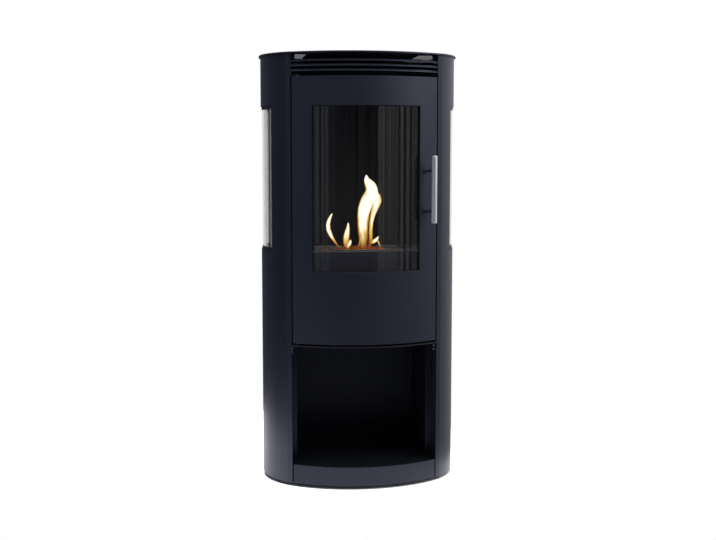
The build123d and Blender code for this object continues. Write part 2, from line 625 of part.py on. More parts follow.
# ================================================================ cabinet: back panel and its screws
with BuildPart() as back_panel:
    with BuildSketch(Plane.XY.offset(FOOT_HEIGHT)):
        BetweenX(FIT - BACK_CORNER_X, BACK_CORNER_X - FIT, BACK_Y, BACK_Y + BACK_SHEET)
    extrude(amount=SHELL_TOP - FOOT_HEIGHT - FIT)
    with BuildSketch(Plane.XZ.offset(-BACK_Y - BACK_SHEET)):
        with Locations((0, LOWER_VENT_Z)):
            with GridLocations(VENT_PITCH_X, VENT_PITCH_Z, VENT_COLUMNS, VENT_ROWS):
                Rectangle(VENT_LENGTH, VENT_WIDTH)
        with Locations((0, LINTEL_Z - UPPER_VENT_DROP)):
            with GridLocations(VENT_PITCH_X, VENT_PITCH_Z, VENT_COLUMNS, 2):
                Rectangle(VENT_LENGTH, VENT_WIDTH)
        with Locations(*[(side * back_screw_x, z) for side in (-1, 1) for z in back_screw_rows]):
            RegularPolygon(SCREW_RADIUS + HOLE_PLAY, SCREW_SIDES)
    extrude(amount=2 * BACK_SHEET, mode=Mode.SUBTRACT)

with BuildPart() as back_screws:
    back_places = [(side * back_screw_x, z) for side in (-1, 1) for z in back_screw_rows]
    with BuildSketch(Plane.XZ.offset(-BACK_Y - BACK_SHEET)):
        with Locations(*back_places):
            RegularPolygon(SCREW_HEAD_RADIUS, SCREW_SIDES)
    extrude(amount=-BACK_SCREW_HEAD)
    with BuildSketch(Plane.XZ.offset(-BACK_Y - BACK_SHEET)):
        with Locations(*back_places):
            RegularPolygon(SCREW_RADIUS, SCREW_SIDES)
    extrude(amount=SCREW_LENGTH)

# ================================================================ cabinet: top plate
with BuildPart() as top_plate:
    outlet_front_y = CREASE_Y + OUTLET_FRONT
    outlet_back_y = BACK_Y - OUTLET_BACK
    with BuildSketch(Plane.XY.offset(SHELL_TOP)):
        CabinetPlan(-OVERHANG)
    extrude(amount=TOP_SHEET - TOP_BREAK)
    with BuildSketch(Plane.XY.offset(TOTAL_HEIGHT - TOP_BREAK)):
        CabinetPlan(-OVERHANG)
    with BuildSketch(Plane.XY.offset(TOTAL_HEIGHT)):
        CabinetPlan(TOP_BREAK - OVERHANG)
    loft(ruled=True)
    with BuildSketch(Plane.XY.offset(SHELL_TOP)):
        for side in (-1, 1):
            with Locations((side * (OUTLET_INNER_X + OUTLET_WIDTH / 2), (outlet_front_y + outlet_back_y) / 2)):
                RectangleRounded(OUTLET_WIDTH, outlet_back_y - outlet_front_y, OUTLET_CORNER)
    extrude(amount=TOP_SHEET, mode=Mode.SUBTRACT)
    lug_y = POST_FRONT + TAB_SETBACK + BRACKET_SHEET
    lug_x = BETWEEN_POSTS - BRACKET_SHEET - LUG_WIDTH / 2
    lug_z = SHELL_TOP - LUG_DROP / 2
    with BuildSketch(Plane.XY.offset(SHELL_TOP - LUG_DROP)):
        with Locations((lug_x, lug_y + SHEET / 2), (-lug_x, lug_y + SHEET / 2)):
            Rectangle(LUG_WIDTH - 2 * FIT, SHEET)
    extrude(amount=LUG_DROP)
    with Locations((lug_x, lug_y, lug_z), (-lug_x, lug_y, lug_z)):
        ScrewBody(SCREW_RADIUS + HOLE_PLAY, 4 * SHEET, (90, 0, 0), Align.CENTER, Mode.SUBTRACT)

# ================================================================ cabinet: louvre grille
with BuildPart() as louvre_blade_top:
    LouvreBlade(BLADE_TOP_Z, BETWEEN_POSTS - FIT)

with BuildPart() as louvre_blade_middle:
    LouvreBlade(BLADE_MIDDLE_Z, BETWEEN_POSTS - FIT)

with BuildPart() as louvre_blade_bottom:
    LouvreBlade(BLADE_BOTTOM_Z, BETWEEN_POSTS - FIT)

with BuildPart() as louvre_bracket_right:
    with BuildSketch(Plane.XY.offset(LOUVRE_FOOT)):
        BetweenX(BETWEEN_POSTS - BRACKET_SHEET, BETWEEN_POSTS, POST_FRONT + FIT, POST_FRONT + BRACKET_DEPTH)
    extrude(amount=SHELL_TOP - LOUVRE_FOOT - FIT)
    with BuildSketch(Plane.XY.offset(SHELL_TOP - LUG_DROP)):
        BetweenX(
            lug_x - LUG_WIDTH / 2, BETWEEN_POSTS - BRACKET_SHEET, lug_y - BRACKET_SHEET, lug_y
        )
    extrude(amount=LUG_DROP - FIT)
    with Locations((lug_x, lug_y, lug_z)):
        ScrewBody(SCREW_RADIUS + HOLE_PLAY, 4 * SHEET, (90, 0, 0), Align.CENTER, Mode.SUBTRACT)
    with Locations(*[(POST_X, y, z) for side, y, z in POST_SCREWS if side > 0 and z > LOUVRE_FOOT]):
        ScrewBody(SCREW_RADIUS + HOLE_PLAY, 4 * SHEET, (0, 90, 0), Align.CENTER, Mode.SUBTRACT)
    for level in (BLADE_TOP_Z, BLADE_MIDDLE_Z, BLADE_BOTTOM_Z):
        LouvreBlade(level, POST_X, BLADE_PLAY, mode=Mode.SUBTRACT)

with BuildPart() as louvre_bracket_left:
    mirror(louvre_bracket_right.part, about=Plane.YZ)

with BuildPart() as lug_screws:
    for side in (-1, 1):
        with Locations((side * lug_x, lug_y - BRACKET_SHEET, lug_z)):
            ScrewBody(SCREW_HEAD_RADIUS, SCREW_HEAD, (90, 0, 0))
            ScrewBody(SCREW_RADIUS, SCREW_LENGTH, (-90, 0, 0))

# ================================================================ cabinet: door hinge
with BuildPart() as hinge_bracket_bottom:
    with BuildSketch(Plane.XY.offset(HEARTH_Z)):
        with Locations((-HINGE_X, HINGE_Y)):
            Circle(BUSH_FLANGE_RADIUS)
        BetweenX(-BETWEEN_POSTS, BUSH_FLANGE_RADIUS - HINGE_X, HINGE_Y, DECK_FRONT_Y - FIT)
        with Locations((-HINGE_X, HINGE_Y)):
            Circle(PIN_RADIUS, mode=Mode.SUBTRACT)
    extrude(amount=BOTTOM_ARM_TOP - HEARTH_Z)

with BuildPart() as hinge_bracket_top:
    with BuildSketch(Plane.XY.offset(TOP_ARM_Z)):
        with Locations((-HINGE_X, HINGE_Y)):
            Circle(BUSH_FLANGE_RADIUS)
        BetweenX(-BETWEEN_POSTS, BUSH_FLANGE_RADIUS - HINGE_X, HINGE_Y, POST_BACK)
        with Locations((-HINGE_X, HINGE_Y)):
            Circle(PIN_RADIUS, mode=Mode.SUBTRACT)
    extrude(amount=HINGE_SHEET)
    with BuildSketch(Plane.XY.offset(TOP_ARM_Z)):
        BetweenX(
            -BETWEEN_POSTS,
            SHEET - BETWEEN_POSTS,
            POST_FRONT + BRACKET_DEPTH + FIT,
            POST_BACK,
        )
    extrude(amount=HINGE_LEG)
    with Locations(*[(-POST_X, y, z) for side, y, z in POST_SCREWS if side < 0 and z > TOP_ARM_Z]):
        ScrewBody(SCREW_RADIUS + HOLE_PLAY, 8 * SHEET, (0, 90, 0), Align.CENTER, Mode.SUBTRACT)

with BuildPart() as hinge_pins:
    with Locations((-HINGE_X, HINGE_Y, HEARTH_Z)):
        Cylinder(
            PIN_RADIUS, DOOR_FOOT + PIN_ENGAGE - HEARTH_Z, align=(Align.CENTER, Align.CENTER, Align.MIN)
        )
    with Locations((-HINGE_X, HINGE_Y, DOOR_HEAD - PIN_ENGAGE)):
        Cylinder(
            PIN_RADIUS,
            TOP_ARM_Z + HINGE_SHEET + PIN_ENGAGE - DOOR_HEAD,
            align=(Align.CENTER, Align.CENTER, Align.MIN),
        )

with BuildPart() as post_screws:
    for side, screw_y, screw_z in POST_SCREWS:
        inner_face = BETWEEN_POSTS - (BRACKET_SHEET if screw_z > LOUVRE_FOOT else SHEET)
        on_arm = side < 0 and screw_y > POST_FRONT + BRACKET_DEPTH
        seat_x = side * (BETWEEN_POSTS - SHEET if on_arm else inner_face)
        with Locations((seat_x, screw_y, screw_z)):
            ScrewBody(SCREW_HEAD_RADIUS, SCREW_HEAD, (0, -90 * side, 0))
            ScrewBody(SCREW_RADIUS, SCREW_LENGTH, (0, 90 * side, 0))

# ================================================================ cabinet: magnet catch
with BuildPart() as magnet_catch:
    catch_top = LINTEL_Z - SHEET - FIT
    catch_y = bow_y(DOOR_X, DOOR_DEPTH) + CATCH_FRONT
    with BuildSketch(Plane.XY.offset(catch_top - CATCH_HEIGHT)):
        BetweenX(BETWEEN_POSTS - CATCH_WIDTH, BETWEEN_POSTS, catch_y + POLE_SHEET, catch_y + CATCH_DEPTH)
        for pole_x in (BETWEEN_POSTS - CATCH_WIDTH + POLE_SHEET, DOOR_X - DOOR_SHEET - 2 * POLE_SHEET):
            BetweenX(pole_x, pole_x + POLE_SHEET, catch_y, catch_y + CATCH_DEPTH)
    extrude(amount=CATCH_HEIGHT)

# ================================================================ door
glass_half = WINDOW_WIDTH / 2 + DOOR_GLASS_LAP
door_glass_in = DOOR_SHEET + DOOR_GASKET + SEAT
door_clip_in = door_glass_in + GLASS + SEAT
clip_near_x = glass_half - DOOR_CLIP_LAP
clip_far_x = clip_near_x + DOOR_CLIP_LENGTH
boss_x = clip_far_x - BOSS_RADIUS
clip_step = (WINDOW_HEIGHT - 2 * DOOR_CLIP_END) / (DOOR_CLIP_ROWS - 1)
clip_rows = [WINDOW_Z + DOOR_CLIP_END + row * clip_step for row in range(DOOR_CLIP_ROWS)]
boss_places = [(side * boss_x, z) for side in (-1, 1) for z in clip_rows]
standoff_rows = [BAR_FOOT_Z + STANDOFF_RISE, BAR_FOOT_Z + STANDOFF_RISE + STANDOFF_PITCH]

with BuildPart() as door_panel:
    with BuildSketch(Plane.XY.offset(DOOR_FOOT)):
        BowStrip(-DOOR_X, DOOR_X, 0, DOOR_SHEET)
        for side in (-1, 1):
            BetweenX(side * (DOOR_X - DOOR_SHEET), side * DOOR_X, bow_y(DOOR_X), bow_y(DOOR_X, DOOR_DEPTH))
    extrude(amount=DOOR_HEIGHT)
    for flange_z in (DOOR_FOOT, DOOR_HEAD - DOOR_SHEET):
        with BuildSketch(Plane.XY.offset(flange_z)):
            BowStrip(-DOOR_X, DOOR_X, 0, DOOR_DEPTH)
            with Locations((-HINGE_X, HINGE_Y)):
                Circle(BUSH_RADIUS + BUSH_FIT, mode=Mode.SUBTRACT)
        extrude(amount=DOOR_SHEET)
    with BuildSketch(Plane.XZ.offset(-FRONT_Y)):
        with Locations((0, WINDOW_MIDDLE)):
            RectangleRounded(WINDOW_WIDTH, WINDOW_HEIGHT, WINDOW_CORNER)
    extrude(amount=-DOOR_DEPTH - POST_DEPTH, mode=Mode.SUBTRACT)
    for x, z in boss_places:
        with BuildSketch(bow_plane(x, z, door_clip_in)):
            RegularPolygon(BOSS_RADIUS, SCREW_SIDES)
        extrude(amount=door_clip_in - DOOR_SHEET / 2)
        with BuildSketch(bow_plane(x, z, door_clip_in)):
            RegularPolygon(SCREW_RADIUS + HOLE_PLAY, SCREW_SIDES)
        extrude(amount=door_clip_in - DOOR_SHEET, mode=Mode.SUBTRACT)
    for z in standoff_rows:
        with BuildSketch(bow_plane(HANDLE_X, z, 2 * DOOR_SHEET)):
            RegularPolygon(HANDLE_SCREW_RADIUS + HOLE_PLAY, SCREW_SIDES)
        extrude(amount=3 * DOOR_SHEET, mode=Mode.SUBTRACT)

with BuildPart() as door_gasket:
    gasket_half = WINDOW_WIDTH / 2 - GASKET_SHOW + GASKET_WIDTH
    gasket_margin = GASKET_WIDTH - GASKET_SHOW
    with BuildSketch(Plane.XY.offset(WINDOW_Z - gasket_margin)):
        BowStrip(-gasket_half, gasket_half, DOOR_SHEET, DOOR_GASKET)
    extrude(amount=WINDOW_HEIGHT + 2 * gasket_margin)
    with BuildSketch(Plane.XZ.offset(-FRONT_Y)):
        with Locations((0, WINDOW_MIDDLE)):
            Rectangle(WINDOW_WIDTH - 2 * GASKET_SHOW, WINDOW_HEIGHT - 2 * GASKET_SHOW)
    extrude(amount=-DOOR_DEPTH - POST_DEPTH, mode=Mode.SUBTRACT)

with BuildPart() as door_glass:
    with BuildSketch(Plane.XY.offset(WINDOW_Z - DOOR_GLASS_LAP)):
        BowStrip(-glass_half, glass_half, door_glass_in, GLASS)
    extrude(amount=WINDOW_HEIGHT + 2 * DOOR_GLASS_LAP)

with BuildPart() as door_clips:
    for z in clip_rows:
        with BuildSketch(Plane.XY.offset(z - DOOR_CLIP_WIDTH / 2)):
            BowStrip(clip_near_x, clip_far_x, door_clip_in, DOOR_CLIP_SHEET)
            BowStrip(-clip_far_x, -clip_near_x, door_clip_in, DOOR_CLIP_SHEET)
        extrude(amount=DOOR_CLIP_WIDTH)
    for x, z in boss_places:
        with BuildSketch(bow_plane(x, z, door_clip_in + 2 * DOOR_CLIP_SHEET)):
            RegularPolygon(SCREW_RADIUS + HOLE_PLAY, SCREW_SIDES)
        extrude(amount=3 * DOOR_CLIP_SHEET, mode=Mode.SUBTRACT)

with BuildPart() as door_clip_screws:
    for x, z in boss_places:
        with BuildSketch(bow_plane(x, z, door_clip_in + DOOR_CLIP_SHEET + SEAT)):
            RegularPolygon(SCREW_HEAD_RADIUS, SCREW_SIDES)
        extrude(amount=-SCREW_HEAD)
        with BuildSketch(bow_plane(x, z, door_clip_in + DOOR_CLIP_SHEET + SEAT)):
            RegularPolygon(SCREW_RADIUS, SCREW_SIDES)
        extrude(amount=SCREW_LENGTH)

with BuildPart() as door_bushes:
    for foot_z, flange in ((DOOR_FOOT, -BUSH_FLANGE), (DOOR_HEAD, BUSH_FLANGE_TOP)):
        with BuildSketch(Plane.XY.offset(foot_z)):
            with Locations((-HINGE_X, HINGE_Y)):
                Circle(BUSH_RADIUS)
        extrude(amount=PIN_ENGAGE if flange < 0 else -PIN_ENGAGE)
        with BuildSketch(Plane.XY.offset(foot_z)):
            with Locations((-HINGE_X, HINGE_Y)):
                Circle(BUSH_FLANGE_RADIUS)
        extrude(amount=flange)
    with Locations((-HINGE_X, HINGE_Y, (DOOR_FOOT + DOOR_HEAD) / 2)):
        Cylinder(PIN_RADIUS + PIN_PLAY, 2 * DOOR_HEIGHT, mode=Mode.SUBTRACT)

with BuildPart() as strike_plate:
    strike_x = DOOR_X - DOOR_SHEET - FIT
    strike_y = catch_y - CATCH_GAP
    strike_front_y = bow_y(strike_x, 2 * DOOR_SHEET)
    with BuildSketch(Plane.XY.offset(catch_top - CATCH_HEIGHT)):
        BetweenX(BETWEEN_POSTS - CATCH_WIDTH, strike_x, strike_y - STRIKE_SHEET, strike_y)
        BetweenX(strike_x - STRIKE_SHEET, strike_x, strike_front_y, strike_y)
    extrude(amount=CATCH_HEIGHT)

# ================================================================ door: handle
with BuildPart() as handle_bar:
    bar_plane = bow_plane(HANDLE_X, BAR_FOOT_Z, -HANDLE_REACH)
    with BuildSketch(Plane(origin=bar_plane.origin)):
        Circle(BAR_RADIUS)
    extrude(amount=BAR_LENGTH)
    chamfer(handle_bar.edges().filter_by(GeomType.CIRCLE), BAR_RADIUS / 8)
    for z in standoff_rows:
        with BuildSketch(bow_plane(HANDLE_X, z, BAR_RADIUS - SOCKET - HANDLE_REACH)):
            Circle(STANDOFF_RADIUS + HOLE_PLAY)
        extrude(amount=-BAR_RADIUS, mode=Mode.SUBTRACT)

with BuildPart() as handle_rosettes:
    for z in standoff_rows:
        with BuildSketch(bow_plane(HANDLE_X, z)):
            Circle(ROSETTE_RADIUS)
            RegularPolygon(HANDLE_SCREW_RADIUS + HOLE_PLAY, SCREW_SIDES, mode=Mode.SUBTRACT)
        extrude(amount=ROSETTE)

with BuildPart() as handle_standoffs:
    for z in standoff_rows:
        with BuildSketch(bow_plane(HANDLE_X, z, -ROSETTE)):
            Circle(STANDOFF_RADIUS)
        extrude(amount=HANDLE_REACH - BAR_RADIUS + SOCKET - ROSETTE - FIT)
        with BuildSketch(bow_plane(HANDLE_X, z, -ROSETTE)):
            RegularPolygon(HANDLE_SCREW_RADIUS + HOLE_PLAY, SCREW_SIDES)
        extrude(amount=HANDLE_SCREW_DEPTH, mode=Mode.SUBTRACT)

with BuildPart() as handle_screws:
    for z in standoff_rows:
        with BuildSketch(bow_plane(HANDLE_X, z, DOOR_SHEET + SEAT)):
            RegularPolygon(HANDLE_SCREW_HEAD_RADIUS, SCREW_SIDES)
        extrude(amount=-HANDLE_SCREW_HEAD)
        with BuildSketch(bow_plane(HANDLE_X, z, DOOR_SHEET + SEAT)):
            RegularPolygon(HANDLE_SCREW_RADIUS, SCREW_SIDES)
        extrude(amount=DOOR_SHEET + ROSETTE + HANDLE_SCREW_DEPTH - SEAT)

# ================================================================ burner
rim_z = DECK_Z + RIM_REST
rim_top = rim_z + RIM_SHEET
tray_floor = rim_z - TRAY_DEPTH + TRAY_SHEET
insert_length = tray_length - 2 * TRAY_SHEET - 2 * INSERT_PLAY
insert_width = tray_width - 2 * TRAY_SHEET - 2 * INSERT_PLAY
insert_top = rim_top - INSERT_DROP
slot_front_y = BURNER_Y - insert_width / 2 + SLOT_FRONT
slot_length = insert_length - 2 * SLOT_END
slot_width = (insert_width - SLOT_FRONT - SLIDE_REAR - 3 * SLIDE_LAP) / 2
slide_half = slot_length / 2 + SLIDE_END
slide_z = insert_top + SLIDE_PLAY
slide_top = slide_z + SLIDE_SHEET

with BuildPart() as burner_tray:
    with BuildSketch(Plane.XY.offset(rim_z)):
        with Locations((0, BURNER_Y)):
            RectangleRounded(BURNER_LENGTH, BURNER_WIDTH, TRAY_CORNER)
    extrude(amount=RIM_SHEET)
    with BuildSketch(Plane.XY.offset(rim_z)):
        with Locations((0, BURNER_Y)):
            RectangleRounded(tray_length, tray_width, TRAY_CORNER)
    extrude(amount=-TRAY_DEPTH)
    with BuildSketch(Plane.XY.offset(tray_floor)):
        with Locations((0, BURNER_Y)):
            Rectangle(tray_length - 2 * TRAY_SHEET, tray_width - 2 * TRAY_SHEET)
    extrude(amount=TRAY_DEPTH + RIM_SHEET, mode=Mode.SUBTRACT)

with BuildPart() as burner_insert:
    with BuildSketch(Plane.XY.offset(tray_floor)):
        with Locations((0, BURNER_Y)):
            Rectangle(insert_length, insert_width)
            Rectangle(insert_length - 2 * TRAY_SHEET, insert_width - 2 * TRAY_SHEET, mode=Mode.SUBTRACT)
    extrude(amount=insert_top - TRAY_SHEET - tray_floor)
    with BuildSketch(Plane.XY.offset(insert_top - TRAY_SHEET)):
        with Locations((0, BURNER_Y)):
            Rectangle(insert_length, insert_width)
        with Locations((0, slot_front_y + slot_width / 2)):
            Rectangle(slot_length, slot_width, mode=Mode.SUBTRACT)
    extrude(amount=TRAY_SHEET)
    for side in (-1, 1):
        guide_x = slide_half + INSERT_PLAY
        with BuildSketch(Plane.XY.offset(insert_top)):
            BetweenX(
                side * guide_x,
                side * (guide_x + TRAY_SHEET),
                slot_front_y - SLIDE_LAP,
                BURNER_Y + insert_width / 2 - SLIDE_LAP,
            )
        extrude(amount=slide_top + INSERT_PLAY - insert_top)
        with BuildSketch(Plane.XY.offset(slide_top + INSERT_PLAY)):
            BetweenX(
                side * (slide_half - GUIDE_LIP),
                side * (guide_x + TRAY_SHEET),
                slot_front_y - SLIDE_LAP,
                BURNER_Y + insert_width / 2 - SLIDE_LAP,
            )
        extrude(amount=TRAY_SHEET)

with BuildPart() as ceramic_wool:
    with BuildSketch(Plane.XY.offset(tray_floor)):
        with Locations((0, BURNER_Y)):
            wool_inset = TRAY_SHEET + WOOL_PLAY
            RectangleRounded(insert_length - 2 * wool_inset, insert_width - 2 * wool_inset, TRAY_CORNER)
    extrude(amount=WOOL_HEIGHT)

with BuildPart() as flame_slide:
    slide_y = slot_front_y + slot_width + SLIDE_LAP
    slide_back_y = slide_y + slot_width + 2 * SLIDE_LAP
    with BuildSketch(Plane.XY.offset(slide_z)):
        BetweenX(-slide_half, slide_half, slide_y, slide_back_y)
    extrude(amount=SLIDE_SHEET)
    with BuildSketch(Plane.XY.offset(slide_top)):
        BetweenX(-SLIDE_TAB_LENGTH / 2, SLIDE_TAB_LENGTH / 2, slide_back_y - SLIDE_SHEET, slide_back_y)
    extrude(amount=SLIDE_TAB)

# ================================================================ pieces
PIECES = {
    "glide_feet": glide_feet,
    "base_plate": base_plate,
    "plinth_front": plinth_front,
    "side_panel_left": side_panel_left,
    "side_panel_right": side_panel_right,
    "back_panel": back_panel,
    "back_screws": back_screws,
    "top_plate": top_plate,
    "louvre_blade_top": louvre_blade_top,
    "louvre_blade_middle": louvre_blade_middle,
    "louvre_blade_bottom": louvre_blade_bottom,
    "louvre_bracket_left": louvre_bracket_left,
    "louvre_bracket_right": louvre_bracket_right,
    "lug_screws": lug_screws,
    "log_floor": log_floor,
    "log_wall_left": log_wall_left,
    "log_wall_right": log_wall_right,
    "log_wall_back": log_wall_back,
    "hearth_shelf": hearth_shelf,
    "post_screws": post_screws,
    "firebox_deck": firebox_deck,
    "firebox_back": firebox_back,
    "heat_baffle": heat_baffle,
    "door_lintel": door_lintel,
    "side_gasket_left": side_gasket_left,
    "side_gasket_right": side_gasket_right,
    "side_glass_left": side_glass_left,
    "side_glass_right": side_glass_right,
    "side_clips_left": side_clips_left,
    "side_clips_right": side_clips_right,
    "hinge_bracket_bottom": hinge_bracket_bottom,
    "hinge_bracket_top": hinge_bracket_top,
    "hinge_pins": hinge_pins,
    "magnet_catch": magnet_catch,
    "door_panel": door_panel,
    "door_gasket": door_gasket,
    "door_glass": door_glass,
    "door_clips": door_clips,
    "door_clip_screws": door_clip_screws,
    "door_bushes": door_bushes,
    "strike_plate": strike_plate,
    "handle_bar": handle_bar,
    "handle_rosettes": handle_rosettes,
    "handle_standoffs": handle_standoffs,
    "handle_screws": handle_screws,
    "burner_tray": burner_tray,
    "burner_insert": burner_insert,
    "ceramic_wool": ceramic_wool,
    "flame_slide": flame_slide,
}

os.makedirs("parts", exist_ok=True)
for name, piece in PIECES.items():
    piece.part.label = name
    export_step(piece.part, f"parts/{name}.step")
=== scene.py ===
"""Dresses a slim bioethanol fireplace: finishes, screws, flames, floor, studio light and camera."""

import logging
from collections.abc import Callable
from dataclasses import dataclass
from enum import Enum
from math import asin, atan2, cos, hypot, pi, radians, sin

import bpy
from mathutils import Matrix, Vector


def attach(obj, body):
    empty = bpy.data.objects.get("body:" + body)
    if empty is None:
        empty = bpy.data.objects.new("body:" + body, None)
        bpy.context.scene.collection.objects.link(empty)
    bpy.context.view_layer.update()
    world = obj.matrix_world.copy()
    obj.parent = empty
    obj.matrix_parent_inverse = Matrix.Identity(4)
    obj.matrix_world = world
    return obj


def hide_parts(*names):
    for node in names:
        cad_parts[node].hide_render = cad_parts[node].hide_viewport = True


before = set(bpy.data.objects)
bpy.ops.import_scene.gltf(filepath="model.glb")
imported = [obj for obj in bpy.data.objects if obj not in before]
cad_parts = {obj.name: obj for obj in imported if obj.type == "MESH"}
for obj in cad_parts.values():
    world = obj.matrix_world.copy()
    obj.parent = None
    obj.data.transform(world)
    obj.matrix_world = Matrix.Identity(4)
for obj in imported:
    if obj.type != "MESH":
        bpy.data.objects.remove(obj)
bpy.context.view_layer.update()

MM = 0.001
TINY = 0.01 * MM
SHARP = radians(35)  # creases from this angle on stay sharp
BOW_CENTRE = Vector((0.0, 0.1545, 0.0))  # a point of the bowed front's axis
UP = Vector((0.0, 0.0, 1.0))
SIDES = (("right", 1.0), ("left", -1.0))
# Sockets of a Mix node that mixes colours, by number, and the ends of a Map Range node's two spans.
SHARE, FIRST, SECOND, MIXED = 0, 6, 7, 2
FROM, TO = ("From Min", "From Max"), ("To Min", "To Max")

log = logging.getLogger("fireplace")

Colour = tuple[float, float, float, float]
Pair = tuple[float, float]
Triple = tuple[float, float, float]
Stops = tuple[tuple[float, str], ...]
Corner = tuple[float, ...]
Piece = bpy.types.Object
Socket = bpy.types.NodeSocket
Tree = bpy.types.NodeTree


# -------- colours and nodes
def linear(colour: str) -> Colour:
    """Turns an sRGB hex colour to linear.

    Args:
        colour: Six hex digits after a hash.

    Returns:
        Linear red, green and blue, and an alpha of 1.
    """
    channels = [int(colour[start : start + 2], 16) / 255 for start in (1, 3, 5)]
    red, green, blue = [c / 12.92 if c <= 0.04045 else ((c + 0.055) / 1.055) ** 2.4 for c in channels]
    return red, green, blue, 1.0


def grey(value: float) -> Colour:
    """Returns a linear grey of that value."""
    return value, value, value, 1.0


def per(size_mm: float) -> float:
    """Returns the scale of a pattern in metres whose features are size_mm across."""
    return 1 / (size_mm * MM)


def add_node(tree: Tree, kind: str, inputs: dict | None = None, **settings) -> bpy.types.Node:
    """Adds a node with its settings and links.

    Args:
        tree: The node tree that gets the node.
        kind: The node's type name, after ShaderNode.
        inputs: Value, or output socket to link, for each input by its name or number. A tuple of names
            takes a tuple of values.
        settings: The node's own properties.

    Returns:
        The new node.
    """
    made = tree.nodes.new(f"ShaderNode{kind}")
    for name, value in settings.items():
        setattr(made, name, value)
    for names, values in (inputs or {}).items():
        pairs = zip(names, values) if isinstance(names, tuple) else [(names, values)]
        for name, value in pairs:
            if isinstance(value, Socket):
                tree.links.new(value, made.inputs[name])
            else:
                made.inputs[name].default_value = value
    return made


def set_stops(ramp: bpy.types.Node, stops: Stops, start: float = 0.0, end: float = 1.0) -> None:
    """Gives a Color Ramp node its stops.

    Args:
        ramp: The Color Ramp node.
        stops: Place and hex colour of each stop, in order.
        start: Place of the ramp's start.
        end: Place of its end.
    """
    elements = ramp.color_ramp.elements
    while len(elements) < len(stops):
        elements.new(1.0)
    for element, (place, colour) in zip(elements, stops):
        element.position = (place - start) / (end - start)
        element.color = linear(colour)


def drawn_out(tree: Tree, place: Socket, sizes_mm: Triple, detail: float) -> Socket:
    """Builds a noise whose features are drawn out along the axes.

    Args:
        tree: The material's node tree.
        place: Object coordinates, in metres.
        sizes_mm: Size of a feature along X, Y and Z.
        detail: Steps of finer noise on it.

    Returns:
        The noise, from 0 to 1.
    """
    scale = tuple(per(size) for size in sizes_mm)
    stretched = add_node(tree, "Mapping", {"Vector": place, "Scale": scale}).outputs[0]
    noise = {"Vector": stretched, "Scale": 1.0, "Detail": detail}
    return add_node(tree, "TexNoise", noise).outputs["Fac"]


def relief(tree: Tree, height: Socket, depth_mm: float, edge_mm: float) -> Socket:
    """Builds a fine relief over edges that look rounded.

    Args:
        tree: The material's node tree.
        height: The relief, from 0 to 1.
        depth_mm: Its depth.
        edge_mm: Radius of the edges.

    Returns:
        The surface's normal.
    """
    edge = add_node(tree, "Bevel", {"Radius": edge_mm * MM})
    bumps = {"Distance": depth_mm * MM, "Height": height, "Normal": edge.outputs["Normal"]}
    return add_node(tree, "Bump", bumps).outputs["Normal"]


def shaded(tree: Tree, share: Socket, first: str, second: str, look: dict) -> Socket:
    """Builds the shader of a surface whose colour wanders between two.

    Args:
        tree: The material's node tree.
        share: 0 where the first colour shows, 1 where the second does.
        first: First colour, as hex digits.
        second: Second colour.
        look: The shader's other inputs.

    Returns:
        The shader's output.
    """
    shades = {SHARE: share, FIRST: linear(first), SECOND: linear(second)}
    colour = add_node(tree, "Mix", shades, data_type="RGBA").outputs[MIXED]
    return add_node(tree, "BsdfPrincipled", {"Base Color": colour, **look}).outputs["BSDF"]


# -------- finishes
@dataclass(frozen=True)
class Finish:
    """How a surface was made. Each kind of finish builds its own shader."""

    name: str

    def shader(self, tree: Tree, place: Socket) -> Socket:
        """Builds the nodes of the finish.

        Args:
            tree: The material's node tree.
            place: Object coordinates, in metres.

        Returns:
            The shader's output.
        """
        raise NotImplementedError

    def material(self) -> bpy.types.Material:
        """Gives the finish as a material, which is built once.

        Returns:
            The material.
        """
        found = bpy.data.materials.get(self.name)
        if found:
            return found
        made = bpy.data.materials.new(self.name)
        made.use_nodes = True
        tree = made.node_tree
        tree.nodes.clear()
        place = add_node(tree, "TexCoord").outputs["Object"]
        add_node(tree, "OutputMaterial", {"Surface": self.shader(tree, place)})
        return made


@dataclass(frozen=True)
class PowderCoat(Finish):
    """Fine-textured powder coat on sheet steel: a soft satin gloss over a faint grain, with rounded edges."""

    colour: str = "#14151c"
    cloud: str = "#17181f"
    sheen_tint: str = "#d8deff"
    roughness: Pair = (0.40, 0.50)
    grain_mm: float = 1.2  # the real grain is finer, and is drawn as coarse as it shows
    grain_depth_mm: float = 0.02
    cloud_mm: float = 140.0
    edge_mm: float = 0.6
    shine: float = 0.5

    FINER_GLOSS = 4  # patches of gloss are this much finer than the clouds of colour

    def shader(self, tree: Tree, place: Socket) -> Socket:
        """Builds clouded colour, uneven gloss, fine grain and soft edges.

        Args:
            tree: The material's node tree.
            place: Object coordinates, in metres.

        Returns:
            The shader's output.
        """
        patterns = ((self.cloud_mm, 2.0), (self.cloud_mm / self.FINER_GLOSS, 3.0), (self.grain_mm, 2.0))
        noises = [{"Vector": place, "Scale": per(size), "Detail": detail} for size, detail in patterns]
        cloud, gloss, grain = (add_node(tree, "TexNoise", noise).outputs["Fac"] for noise in noises)
        rough = add_node(tree, "MapRange", {"Value": gloss, TO: self.roughness})
        look = {
            "Roughness": rough.outputs["Result"],
            "Specular IOR Level": self.shine,
            "Specular Tint": linear(self.sheen_tint),
            "Normal": relief(tree, grain, self.grain_depth_mm, self.edge_mm),
        }
        return shaded(tree, cloud, self.colour, self.cloud, look)


